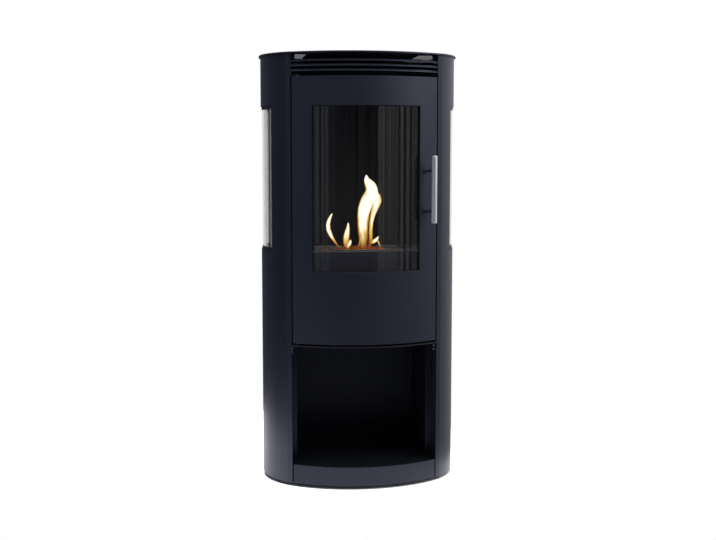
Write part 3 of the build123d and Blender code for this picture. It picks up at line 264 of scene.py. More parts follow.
@dataclass(frozen=True)
class CurvedGlass(Finish):
    """Heat-proof glass, bent hot: clear and glossy, with a faint haze in upright bands where it was wiped."""

    tint: str
    band_tint: str
    haze: float = 0.0
    band_mm: Triple = (26.0, 26.0, 600.0)
    band_span: Pair = (0.3, 0.75)  # of the noise, from the clearest to the haziest band
    ior: float = 1.47

    CLEAREST = 0.25  # share of the haze that the clearest band still has

    def shader(self, tree: Tree, place: Socket) -> Socket:
        """Builds clear glass whose gloss is broken by upright bands.

        Args:
            tree: The material's node tree.
            place: Object coordinates, in metres.

        Returns:
            The shader's output.
        """
        bands = drawn_out(tree, place, self.band_mm, 3.0)
        hazes = (self.haze * self.CLEAREST, self.haze)
        rough = add_node(tree, "MapRange", {"Value": bands, FROM: self.band_span, TO: hazes})
        look = {"Roughness": rough.outputs["Result"], "IOR": self.ior, "Transmission Weight": 1.0}
        return shaded(tree, bands, self.tint, self.band_tint, look)


@dataclass(frozen=True)
class DrawnMetal(Finish):
    """Bare or plated metal: streaks along the way it was ground or drawn, or a mottle, break its gloss."""

    colour: str
    shade: str
    roughness: Pair
    streak_mm: Triple
    streak_depth_mm: float
    edge_mm: float = 0.3

    def shader(self, tree: Tree, place: Socket) -> Socket:
        """Builds streaked metal.

        Args:
            tree: The material's node tree.
            place: Object coordinates, in metres.

        Returns:
            The shader's output.
        """
        streaks = drawn_out(tree, place, self.streak_mm, 4.0)
        rough = add_node(tree, "MapRange", {"Value": streaks, TO: self.roughness})
        look = {
            "Metallic": 1.0,
            "Roughness": rough.outputs["Result"],
            "Normal": relief(tree, streaks, self.streak_depth_mm, self.edge_mm),
        }
        return shaded(tree, streaks, self.colour, self.shade, look)


@dataclass(frozen=True)
class WovenTape(Finish):
    """Glass-fibre tape dyed black: a matt plain weave of thick threads."""

    colour: str = "#0b0b0c"
    thread: str = "#1a1a1b"
    thread_mm: float = 10.053  # the real threads are finer, and are drawn as coarse as they show
    thread_depth_mm: float = 0.2

    PITCH = 2 * pi / 20  # of a Wave Texture's bands, at a scale of 1

    def shader(self, tree: Tree, place: Socket) -> Socket:
        """Builds threads that cross, as two sets of waves.

        Args:
            tree: The material's node tree.
            place: Object coordinates, in metres.

        Returns:
            The shader's output.
        """
        wave = {"Vector": place, "Scale": self.PITCH * per(self.thread_mm)}
        weft, warp = (add_node(tree, "TexWave", wave, bands_direction=axis) for axis in "ZX")
        crossed = {0: weft.outputs["Fac"], 1: warp.outputs["Fac"]}
        weave = add_node(tree, "Math", crossed, operation="MULTIPLY").outputs[0]
        bumps = {"Strength": 0.6, "Distance": self.thread_depth_mm * MM, "Height": weave}
        look = {"Roughness": 0.9, "Normal": add_node(tree, "Bump", bumps).outputs["Normal"]}
        return shaded(tree, weave, self.colour, self.thread, look)


@dataclass(frozen=True)
class Grained(Finish):
    """Dull material with a grain of its own: moulded plastic, silicone, mineral wool or heat-proof paint."""

    colour: str
    fleck: str
    roughness: float
    grain_mm: float
    grain_depth_mm: float

    def shader(self, tree: Tree, place: Socket) -> Socket:
        """Builds flecked colour over a bumpy grain.

        Args:
            tree: The material's node tree.
            place: Object coordinates, in metres.

        Returns:
            The shader's output.
        """
        noise = {"Vector": place, "Scale": per(self.grain_mm), "Detail": 5.0}
        grain = add_node(tree, "TexNoise", noise).outputs["Fac"]
        bumps = {"Distance": self.grain_depth_mm * MM, "Height": grain}
        normal = add_node(tree, "Bump", bumps).outputs["Normal"]
        return shaded(tree, grain, self.colour, self.fleck, {"Roughness": self.roughness, "Normal": normal})


@dataclass(frozen=True)
class Flame(Finish):
    """Glowing gas: nearly white in its core, yellow and orange towards its edges, and clear at its foot."""

    glow: Pair = (0.7, 1.75)  # at the rim and in the core
    glow_span: Pair = (0.2, 0.8)  # of the heat
    streak_mm: Triple = (5.0, 5.0, 40.0)
    streak_span: Pair = (0.35, 0.62)  # of the noise
    streak_heat: Pair = (0.74, 1.12)  # by which a streak scales the warmth
    # Colour by the heat.
    colours: Stops = (
        (0.0, "#6e2c14"), (0.18, "#bc5c24"), (0.36, "#ee9e3e"), (0.54, "#fddc78"), (0.72, "#fffbe6"),
    )

    def shader(self, tree: Tree, place: Socket) -> Socket:
        """Builds light from the warmth that each flame's mesh carries, with long streaks.

        Args:
            tree: The material's node tree.
            place: Object coordinates, in metres.

        Returns:
            The shader's output.
        """
        carried = [add_node(tree, "Attribute", attribute_name=name) for name in ("warmth", "veil")]
        warmth, veil = (attribute.outputs["Fac"] for attribute in carried)
        streaks = drawn_out(tree, place, self.streak_mm, 3.0)
        gain = {"Value": streaks, FROM: self.streak_span, TO: self.streak_heat}
        streaked = add_node(tree, "MapRange", gain).outputs["Result"]
        heat = add_node(tree, "Math", {0: warmth, 1: streaked}, operation="MULTIPLY").outputs[0]
        colour = add_node(tree, "ValToRGB", {"Fac": heat})
        set_stops(colour, self.colours)
        strength = {"Value": heat, FROM: self.glow_span, TO: self.glow}
        look = {
            "Base Color": grey(0.0),
            "Roughness": 1.0,
            "Specular IOR Level": 0.0,
            "Emission Color": colour.outputs["Color"],
            "Emission Strength": add_node(tree, "MapRange", strength).outputs["Result"],
            "Alpha": veil,
        }
        return add_node(tree, "BsdfPrincipled", look).outputs["BSDF"]


@dataclass(frozen=True)
class StudioFloor(Finish):
    """Light table: matt white paper that glows as if lit from below, with a painted shadow where the object
    stands.
    """

    colour: str = "#f4f4f4"
    glow: float = 1.15
    painted_shadow_half: Pair = (0.2405, 0.1745)  # half width and half depth of the painted shadow under the object's foot, in metres
    painted_shadow_edge: Pair = (0.99, 1.015)  # shares of the painted shadow's size where the glow starts and is full
    fibre_mm: float = 4.0
    fibre_depth_mm: float = 0.05

    def shader(self, tree: Tree, place: Socket) -> Socket:
        """Builds matt paper whose glow fades out under the object into a painted shadow.

        Args:
            tree: The material's node tree.
            place: Object coordinates, in metres.

        Returns:
            The shader's output.
        """
        across, along = self.painted_shadow_half
        place_in_painted_shadow = add_node(tree, "Mapping", {"Vector": place, "Scale": (1 / across, 1 / along, 0.0)})
        reach = add_node(tree, "VectorMath", {0: place_in_painted_shadow.outputs[0]}, operation="LENGTH")
        # The glow fades to nothing over the object's foot: a painted contact shadow.
        light = {"Value": reach.outputs["Value"], FROM: self.painted_shadow_edge, TO: (0.0, self.glow)}
        lit = add_node(tree, "MapRange", light, interpolation_type="SMOOTHSTEP").outputs["Result"]
        noise = {"Vector": place, "Scale": per(self.fibre_mm), "Detail": 3.0}
        fibre = add_node(tree, "TexNoise", noise).outputs["Fac"]
        bumps = {"Strength": 0.2, "Distance": self.fibre_depth_mm * MM, "Height": fibre}
        look = {
            "Base Color": linear(self.colour),
            "Roughness": 0.9,
            "Specular IOR Level": 0.0,
            "Normal": add_node(tree, "Bump", bumps).outputs["Normal"],
            "Emission Color": grey(1.0),
            "Emission Strength": lit,
        }
        return add_node(tree, "BsdfPrincipled", look).outputs["BSDF"]


# Satin, blue-black coat on the folded panels; it takes broad soft highlights.
CABINET_COAT = PowderCoat("satin_powder_coat", roughness=(0.34, 0.42))
# The same coat on the door, a shade greyer.
DOOR_COAT = PowderCoat("door_powder_coat", "#1c1d26", "#20222b")
# Plinth: a darker copy of the coat, as painted shade. Blades: a lighter copy, as a painted highlight on their
# narrow faces.
PLINTH_COAT_PAINTED_SHADE = PowderCoat("plinth_coat_painted_shade", "#0e0f14", "#101117", roughness=(0.5, 0.6))
BLADE_COAT_PAINTED_LIGHT = PowderCoat("blade_coat_painted_light", "#20222b", "#262831", roughness=(0.36, 0.44))
# Liners of the log compartment: a flatter, nearly black copy of the coat, as painted shade deep in the
# compartment.
LINER_COAT_PAINTED_SHADE = PowderCoat("liner_coat_painted_shade", "#050608", "#07080b", roughness=(0.5, 0.6), shine=0.3)
# Deck and its apron, seen through the door's glass: a lighter grey copy of the coat, as painted light from
# the front.
DECK_COAT_PAINTED_LIGHT = PowderCoat("deck_coat_painted_light", "#3f414c", "#464853", roughness=(0.45, 0.55))
# Turned stand-offs and rosettes: the door's coat, a shade lighter as a painted highlight on their small round
# faces.
STANDOFF_COAT_PAINTED_LIGHT = PowderCoat("standoff_coat_painted_light", "#282932", "#2c2d37", cloud_mm=30.0, edge_mm=0.4)
# Heat-proof paint in the firebox: dead matt, slightly chalky.
FIREBOX_PAINT = Grained("heat_proof_paint", "#08090c", "#0c0d11", 0.7, 2.0, 0.03)
# Side windows: clear glass with a smooth gloss, tinted greyer in upright bands.
SIDE_GLASS = CurvedGlass("side_heat_proof_glass", "#dcdcdd", "#c6c7c8")
# The door's glass: the same kind, a shade lighter, with a faint haze that softens what it mirrors.
DOOR_GLASS = CurvedGlass("door_heat_proof_glass", "#e4e5e6", "#d6d8d9", haze=0.035)
# Gasket round the glass: dead matt, with threads that barely catch the light.
TAPE = WovenTape("woven_gasket_tape")
# Black silicone round the side windows: smooth and dull, with a few dimples.
SILICONE = Grained("black_silicone", "#0a0a0b", "#121213", 0.55, 4.0, 0.03)
# Bright zinc: bluish-white and mottled, without a direction.
ZINC = DrawnMetal("zinc_plated_steel", "#9a9ca0", "#7f8186", (0.3, 0.5), (2.0, 2.0, 2.0), 0.01)
# Sintered bronze bushes, soaked in oil: dull, brownish and fine-pored.
BUSH_BRONZE = DrawnMetal("sintered_bronze", "#6a5a48", "#54483a", (0.4, 0.55), (1.2, 1.2, 1.2), 0.02)
# Handle tube, ground along its length: long upright streaks.
HANDLE_STEEL = DrawnMetal("ground_handle_steel", "#f2f2f2", "#c4c4c6", (0.36, 0.52), (1.1, 1.1, 70.0), 0.02)
# Burner: stainless sheet brushed along its length.
BURNER_STEEL = DrawnMetal("brushed_stainless", "#c2c2c4", "#949498", (0.18, 0.3), (60.0, 0.7, 0.7), 0.01, 1.4)
# Felted mineral wool in the fuel box: off-white, soft and fibrous.
WOOL = Grained("felted_mineral_wool", "#cfc9bd", "#a79f92", 0.95, 1.5, 0.4)
# Moulded feet and catch body: black plastic with a spark-eroded grain.
PLASTIC = Grained("moulded_plastic", "#0d0d0e", "#151516", 0.55, 0.8, 0.05)
# Burning ethanol: it gives its own light and mirrors nothing.
FLAME = Flame("flame_gas")
# Paper of the light table: bright, with no gloss, and a painted shadow under the object.
PAPER_WITH_PAINTED_SHADOW = StudioFloor("paper_with_painted_shadow")


# -------- modelling
def deselect() -> None:
    """Leaves edit mode and clears the selection."""
    if bpy.context.mode != "OBJECT":
        bpy.ops.object.mode_set(mode="OBJECT")
    bpy.ops.object.select_all(action="DESELECT")


def pick(piece: Piece) -> None:
    """Selects one piece alone and makes it the active one.

    Args:
        piece: The piece.
    """
    deselect()
    piece.select_set(True)
    bpy.context.view_layer.objects.active = piece


def edit_all() -> None:
    """Enters edit mode with all of the active piece selected."""
    bpy.ops.object.mode_set(mode="EDIT")
    bpy.ops.mesh.select_all(action="SELECT")


def face_outwards() -> None:
    """Selects all of the piece that is being edited and turns its faces outwards."""
    bpy.ops.mesh.select_all(action="SELECT")
    bpy.ops.mesh.normals_make_consistent(inside=False)


def add_object(name: str, data: bpy.types.ID) -> Piece:
    """Adds an object to the scene, at the origin.

    Args:
        name: Its name.
        data: Its mesh, light or camera.

    Returns:
        The new object.
    """
    made = bpy.data.objects.new(name, data)
    bpy.context.collection.objects.link(made)
    return made


def select_corners(piece: Piece, wanted: Callable[[Vector], bool]) -> None:
    """Selects corners of the piece that is being edited, and the edges and faces between them.

    Args:
        piece: The piece in edit mode.
        wanted: Function of a corner's place that says whether it is selected.
    """
    bpy.ops.mesh.select_mode(type="VERT")
    bpy.ops.mesh.select_all(action="DESELECT")
    bpy.ops.object.mode_set(mode="OBJECT")
    for corner in piece.data.vertices:
        corner.select = wanted(corner.co)
    bpy.ops.object.mode_set(mode="EDIT")
    bpy.ops.mesh.select_mode(type="EDGE")
    bpy.ops.mesh.select_mode(type="FACE", action="ENABLE")


def settle(piece: Piece, name: str, finish: Finish) -> None:
    """Names a modelled piece, gives it its finish and moves its place into its mesh.

    Args:
        piece: The modelled piece.
        name: Its name.
        finish: Its finish.
    """
    pick(piece)
    bpy.ops.object.transform_apply(location=True, rotation=True, scale=True)
    piece.name = name
    piece.data.name = name
    piece.data.materials.clear()
    piece.data.materials.append(finish.material())


def subdivide(piece: Piece, levels: int) -> None:
    """Smooths a piece with a Subdivision Surface modifier and applies it.

    Args:
        piece: The piece, already at the origin.
        levels: Steps of subdivision.
    """
    pick(piece)
    smoother = piece.modifiers.new("smoother", "SUBSURF")
    smoother.levels = levels
    smoother.render_levels = levels
    bpy.ops.object.modifier_apply(modifier=smoother.name)
    bpy.ops.object.shade_smooth()


def thicken(piece: Piece, thickness: float, side: float) -> None:
    """Gives a sheet its thickness with a Solidify modifier and applies it.

    Args:
        piece: The sheet.
        thickness: Its thickness.
        side: 1 to grow along its faces' normals, -1 to grow against them.
    """
    pick(piece)
    thickener = piece.modifiers.new("thickener", "SOLIDIFY")
    thickener.thickness = thickness
    thickener.offset = side
    bpy.ops.object.modifier_apply(modifier=thickener.name)


def dress(finish: Finish, *names: str) -> None:
    """Gives CAD nodes a finish.

    Args:
        finish: The finish.
        names: The nodes' names.
    """
    for name in names:
        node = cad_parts[name]
        for holder in node.material_slots:
            holder.material = finish.material()
        log.info("dressed %s with %s", name, finish.name)


def solids(node: str) -> list[list[Vector]]:
    """Finds the separate solids of a CAD node.

    Args:
        node: The node's name.

    Returns:
        The corners of each solid.
    """
    home: dict[Corner, Corner] = {}

    def root(corner: Corner) -> Corner:
        """Follows a corner to the one that stands for its solid.

        Args:
            corner: The corner.

        Returns:
            The corner that stands for it.
        """
        while home[corner] != corner:
            corner = home[corner]
        return corner

    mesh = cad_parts[node].data
    for face in mesh.polygons:
        corners = [tuple(round(c, 6) for c in mesh.vertices[index].co) for index in face.vertices]
        for corner in corners:
            home.setdefault(corner, corner)
        for corner in corners[1:]:
            home[root(corner)] = root(corners[0])
    groups: dict[Corner, list[Vector]] = {}
    for corner in home:
        groups.setdefault(root(corner), []).append(Vector(corner))
    return list(groups.values())


# -------- cabinet and door
@dataclass
class Cabinet:
    """Folded panels, liners, glazing and fittings that stand still."""

    def build(self) -> None:
        """Dresses the cabinet's nodes."""
        dress(CABINET_COAT, "base_plate", "side_panel_left", "side_panel_right", "back_panel", "top_plate")
        dress(CABINET_COAT, "louvre_bracket_left", "louvre_bracket_right", "hearth_shelf", "door_lintel")
        dress(CABINET_COAT, "hinge_bracket_bottom", "hinge_bracket_top")
        dress(PLINTH_COAT_PAINTED_SHADE, "plinth_front")
        dress(DECK_COAT_PAINTED_LIGHT, "firebox_deck")
        dress(BLADE_COAT_PAINTED_LIGHT, "louvre_blade_top", "louvre_blade_middle", "louvre_blade_bottom")
        dress(LINER_COAT_PAINTED_SHADE, "log_floor", "log_wall_left", "log_wall_right", "log_wall_back")
        dress(FIREBOX_PAINT, "firebox_back", "heat_baffle")
        dress(SIDE_GLASS, "side_glass_left", "side_glass_right")
        dress(TAPE, "side_gasket_left", "side_gasket_right")
        dress(ZINC, "side_clips_left", "side_clips_right", "hinge_pins")
        dress(PLASTIC, "glide_feet", "magnet_catch")


@dataclass
class Door:
    """Bowed door with its glass, catch plate and handle."""

    def build(self) -> None:
        """Dresses the door's nodes."""
        dress(DOOR_COAT, "door_panel")
        dress(DOOR_GLASS, "door_glass")
        dress(TAPE, "door_gasket")
        dress(ZINC, "door_clips", "strike_plate")
        dress(BUSH_BRONZE, "door_bushes")
        dress(HANDLE_STEEL, "handle_bar")
        dress(STANDOFF_COAT_PAINTED_LIGHT, "handle_standoffs", "handle_rosettes")


@dataclass
class OutletGrids:
    """Punched sheet-steel grids, let into the two heat outlets of the top plate."""

    inner_x: float = 133.0 * MM
    outer_x: float = 198.0 * MM
    front_y: float = -86.5 * MM
    back_y: float = 128.5 * MM
    level: float = 1047.6 * MM  # upper face, below the top plate's
    sheet: float = 1.5 * MM
    bar: float = 6.0 * MM
    holes: int = 8

    def build(self) -> None:
        """Models one grid and sets a copy of it into each outlet."""
        across, along = self.outer_x - self.inner_x, self.back_y - self.front_y
        middle = Vector(((self.inner_x + self.outer_x) / 2, (self.front_y + self.back_y) / 2, self.level))
        deselect()
        bpy.ops.mesh.primitive_grid_add(
            x_subdivisions=1, y_subdivisions=self.holes, size=1.0, location=(0, 0, 0)
        )
        grid = bpy.context.active_object
        edit_all()
        bpy.ops.transform.resize(value=(across, along, 1), center_override=(0, 0, 0))
        bpy.ops.mesh.inset(thickness=self.bar / 2, use_individual=True)
        bpy.ops.mesh.delete(type="FACE")
        thicken(grid, self.sheet, -1.0)
        for side, way in SIDES:
            piece = add_object(f"outlet_grid_{side}", grid.data.copy())
            piece.location = (way * middle.x, middle.y, middle.z)
            settle(piece, piece.name, CABINET_COAT)
            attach(piece, "cabinet")
            log.info("set %s into the top plate", piece.name)
        bpy.data.objects.remove(grid)


@dataclass
class SideSeals:
    """Black silicone joint round each side window, on the glass inside the edges of the cut-out."""

    widest_x: float = 241.5 * MM
    centres_y: float = 9.35 * MM  # of both arcs of the side wall
    side_radius: float = 165.0 * MM
    rear_radius: float = 280.0 * MM
    front_y: float = -72.0 * MM
    back_y: float = 116.0 * MM
    foot_z: float = 574.4 * MM
    head_z: float = 925.6 * MM
    inset: float = 2.9 * MM  # from the wall's outer face to the glass
    thickness: float = 0.8 * MM
    width: float = 8.0 * MM
    rear_extra: float = 6.0 * MM  # by which the rear leg is wider
    rear_reach: float = 10.4 * MM  # from the rear edge, past the inner edge of the rear leg
    steps: int = 6

    def build(self) -> None:
        """Models the joint of each side window and sets it into the cabinet."""
        for side, way in SIDES:
            piece = self.joint(way)
            settle(piece, f"side_seal_{side}", SILICONE)
            bpy.ops.object.shade_smooth_by_angle(angle=SHARP)
            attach(piece, "cabinet")
            log.info("set %s round the window", piece.name)

    def joint(self, way: float) -> Piece:
        """Spins an upright line round the two arcs of the side wall, opens it to a ring and thickens it.

        Args:
            way: 1 for the right window, -1 for the left.

        Returns:
            The joint.
        """
        arcs = (self.side_radius, self.rear_radius)
        radii = [arc - self.inset for arc in arcs]
        middles = [(way * (self.widest_x - arc), self.centres_y, 0.0) for arc in arcs]
        start = asin((self.front_y - self.centres_y) / radii[0])
        end = asin((self.back_y - self.centres_y) / radii[1])
        rise = self.head_z - self.foot_z
        deselect()
        bpy.ops.mesh.primitive_plane_add(size=rise, location=(0, 0, 0), rotation=(pi / 2, 0, 0))
        patch = bpy.context.active_object
        bpy.ops.object.transform_apply(rotation=True)
        bpy.ops.object.mode_set(mode="EDIT")
        bpy.ops.mesh.select_mode(type="VERT")
        bpy.ops.mesh.select_all(action="SELECT")
        bpy.ops.transform.resize(value=(0, 1, 1))
        bpy.ops.mesh.remove_doubles(threshold=TINY)
        place = (
            middles[0][0] + way * radii[0] * cos(start),
            middles[0][1] + radii[0] * sin(start),
            self.foot_z + rise / 2,
        )
        bpy.ops.transform.translate(value=place)
        for middle, turn in zip(middles, (-start, end)):
            bpy.ops.mesh.spin(steps=self.steps, angle=-way * turn, center=middle, axis=(0, 0, 1))
        face_outwards()
        bpy.ops.mesh.inset(thickness=self.width)
        bpy.ops.mesh.delete(type="FACE")
        self.widen_rear(patch, way, end)
        thicken(patch, self.thickness, 1.0)
        return patch

    def widen_rear(self, patch: Piece, way: float, end: float) -> None:
        """Draws the inner edge of the rear leg further in.

        Args:
            patch: The open ring, in edit mode.
            way: 1 for the right window, -1 for the left.
            end: Angle of the rear edge on its arc.
        """
        bpy.ops.mesh.select_all(action="DESELECT")
        bpy.ops.object.mode_set(mode="OBJECT")
        margin = self.width / 2
        for corner in patch.data.vertices:
            inside = self.foot_z + margin < corner.co.z < self.head_z - margin
            corner.select = inside and corner.co.y > self.back_y - self.rear_reach
        bpy.ops.object.mode_set(mode="EDIT")
        drawn = (way * self.rear_extra * sin(end), -self.rear_extra * cos(end), 0.0)
        bpy.ops.transform.translate(value=drawn)


# -------- screws
class Facing(Enum):
    """Which way the heads of a set of screws look."""

    MIDDLE = "towards the middle of the cabinet"
    FRONT = "to the front"
    BACK = "to the back"
    BOW_CENTRE = "towards the axis of the bowed front"


@dataclass
class Screws:
    """Set of button-head screws with a hexagon socket, each over one solid of its node."""

    node: str
    body: str
    facing: Facing
    head_radius: float = 3.5 * MM
    head_rise: float = 2.0 * MM
    shank_radius: float = 1.95 * MM
    sides: int = 24
    socket_radius: float = 0.48  # share of the head's radius
    socket_depth: float = 0.55  # share of the head's rise

    # Each step of the dome: how far it shrinks the ring, and its share of the head's rise.
    DOME = ((1.0, 0.35), (0.93, 0.35), (0.80, 0.30))

    def direction(self, middle: Vector) -> Vector:
        """Finds the way that a screw's head looks.

        Args:
            middle: The screw's middle.

        Returns:
            The way, one metre long.
        """
        if self.facing is Facing.MIDDLE:
            return Vector((-1.0 if middle.x > 0 else 1.0, 0.0, 0.0))
        if self.facing is Facing.FRONT:
            return Vector((0.0, -1.0, 0.0))
        if self.facing is Facing.BACK:
            return Vector((0.0, 1.0, 0.0))
        inwards = BOW_CENTRE - middle
        inwards.z = 0.0
        return inwards.normalized()

    def pattern(self, length: float) -> Piece:
        """Models one screw with its head's top at the origin, looking up.

        Args:
            length: From the head's top to the end of the shank.

        Returns:
            The screw.
        """
        deselect()
        shank = length - self.head_rise
        foot = (0, 0, -self.head_rise - shank / 2)
        bpy.ops.mesh.primitive_cylinder_add(
            vertices=self.sides, radius=self.shank_radius, depth=shank, location=foot
        )
        screw = bpy.context.active_object
        bpy.ops.object.transform_apply(location=True)
        bpy.ops.object.mode_set(mode="EDIT")
        self.shape_head(screw)
        self.cut_socket(screw)
        return screw

    def shape_head(self, screw: Piece) -> None:
        """Draws the head out of the shank's end: flat underside, short side and domed top.

        Args:
            screw: The screw in edit mode.
        """
        select_corners(screw, lambda corner: corner.z > -self.head_rise - TINY)
        for factor, share in ((self.head_radius / self.shank_radius, 0.0), *self.DOME):
            rise = share * self.head_rise
            bpy.ops.mesh.extrude_region_move(TRANSFORM_OT_translate={"value": (0, 0, rise)})
            bpy.ops.transform.resize(value=(factor, factor, 1), center_override=(0, 0, 0))
        bpy.ops.mesh.delete(type="ONLY_FACE")

    def cut_socket(self, screw: Piece) -> None:
        """Joins a hexagon to the rim of the dome and sinks it into the head.

        Args:
            screw: The screw in edit mode, open at the top.
        """
        mouth = self.socket_radius * self.head_radius
        depth = self.socket_depth * self.head_rise
        bpy.ops.mesh.primitive_circle_add(vertices=6, radius=mouth, location=(0, 0, 0))
        bpy.ops.mesh.subdivide(number_cuts=self.sides // 6 - 1)
        select_corners(screw, lambda corner: corner.z > -TINY)
        bpy.ops.mesh.bridge_edge_loops()
        select_corners(screw, lambda corner: corner.z > -TINY and corner.xy.length < mouth + TINY)
        bpy.ops.mesh.extrude_region_move(TRANSFORM_OT_translate={"value": (0, 0, -depth)})
        bpy.ops.mesh.edge_face_add()
        face_outwards()
        deselect()

    def build(self) -> None:
        """Models the screw once and sets a copy over each solid of the node."""
        pattern = None
        for number, solid in enumerate(solids(self.node), 1):
            middle = sum(solid, Vector()) / len(solid)
            heading = self.direction(middle)
            along = [corner.dot(heading) for corner in solid]
            pattern = pattern or self.pattern(max(along) - min(along))
            piece = add_object(f"{self.node}_{number}", pattern.data.copy())
            seat = middle + heading * (max(along) - middle.dot(heading))
            piece.matrix_world = Matrix.LocRotScale(seat, UP.rotation_difference(heading), None)
            settle(piece, piece.name, ZINC)
            bpy.ops.object.shade_smooth_by_angle(angle=SHARP)
            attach(piece, self.body)
            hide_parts(self.node)
            log.info("set %s on %s", piece.name, self.body)
        bpy.data.objects.remove(pattern)


# -------- burner and flames
@dataclass(frozen=True)
class Tongue:
    """One tongue of flame: a closed tube through stations, flattened from front to back."""

    name: str
    heat: float
    stations: tuple[Triple, ...]  # X, Z and half width of each, in millimetres

    RING = 12
    DEPTH_SHARE = 0.6
    ROUNDING = 2
    FOOT_HEAT, CLIMB_HEAT = 0.34, 1.3  # share of the heat at the foot, and what a full climb would add
    FOOT_VEIL, CLIMB_VEIL = 0.12, 3.2  # the same for how dense the gas looks
    RIM_LOSS, TIP_GAIN, RIM_POWER = 0.85, 0.15, 2.4  # heat lost at the rim, and less so at the tip
    RIM_THINNING, THINNING_POWER = 0.45, 3  # share of the veil lost at the rim

    def build(self, row_y: float) -> Piece:
        """Models the tongue.

        Args:
            row_y: Y of the middle of the flames, in metres.

        Returns:
            The tongue, at the origin.
        """
        path = [Vector((x * MM, row_y, z * MM)) for x, z, _ in self.stations]
        halves = [half * MM for _, _, half in self.stations]
        ways = [there - here for here, there in zip(path, path[1:])]
        turns = [atan2(way.x, way.z) for way in ways]
        headings = [turns[0], *[(a + b) / 2 for a, b in zip(turns, turns[1:])], turns[-1]]
        deselect()
        bpy.ops.mesh.primitive_circle_add(
            vertices=self.RING, radius=halves[0], fill_type="NGON", location=path[0]
        )
        tongue = bpy.context.active_object
        bpy.ops.object.transform_apply(location=True)
        edit_all()
        bpy.ops.transform.resize(value=(1, self.DEPTH_SHARE, 1), center_override=path[0])
        bpy.ops.transform.rotate(value=-headings[0], orient_axis="Y", center_override=path[0])
        for step, way in enumerate(ways):
            ahead = path[step + 1]
            factor = halves[step + 1] / halves[step]
            turn = headings[step] - headings[step + 1]
            bpy.ops.mesh.extrude_region_move(TRANSFORM_OT_translate={"value": way})
            bpy.ops.transform.resize(value=(factor, factor, factor), center_override=ahead)
            bpy.ops.transform.rotate(value=turn, orient_axis="Y", center_override=ahead)
        face_outwards()
        subdivide(tongue, self.ROUNDING)
        settle(tongue, self.name, FLAME)
        self.warm(tongue, path, halves)
        return tongue

    def warm(self, tongue: Piece, path: list[Vector], halves: list[float]) -> None:
        """Writes each corner's heat and veil from its place along and across the tongue.

        Args:
            tongue: The finished mesh.
            path: The stations' middles.
            halves: The stations' half widths.
        """
        lengths = [(there - here).length for here, there in zip(path, path[1:])]
        heats, veils = [], []
        for corner in tongue.data.vertices:
            best = None
            walked = 0.0
            for step, length in enumerate(lengths):
                way = (path[step + 1] - path[step]) / length
                reach = min(max((corner.co - path[step]).dot(way), 0.0), length)
                off = corner.co - path[step] - way * reach
                half = halves[step] + (halves[step + 1] - halves[step]) * reach / length
                apart = hypot(off.x, off.z)
                if best is None or apart < best[0]:
                    best = (apart, apart / half, walked + reach)
                walked += length
            across = min(best[1], 1.0)
            climb = best[2] / walked
            core = 1 - (self.RIM_LOSS - self.TIP_GAIN * climb) * across**self.RIM_POWER
            rise = min(1.0, self.FOOT_HEAT + self.CLIMB_HEAT * climb)
            density = min(1.0, self.FOOT_VEIL + self.CLIMB_VEIL * climb)
            heats.append(self.heat * core * rise)
            veils.append(density * (1 - self.RIM_THINNING * across**self.THINNING_POWER))
        for name, values in (("warmth", heats), ("veil", veils)):
            tongue.data.attributes.new(name, "FLOAT", "POINT").data.foreach_set("value", values)


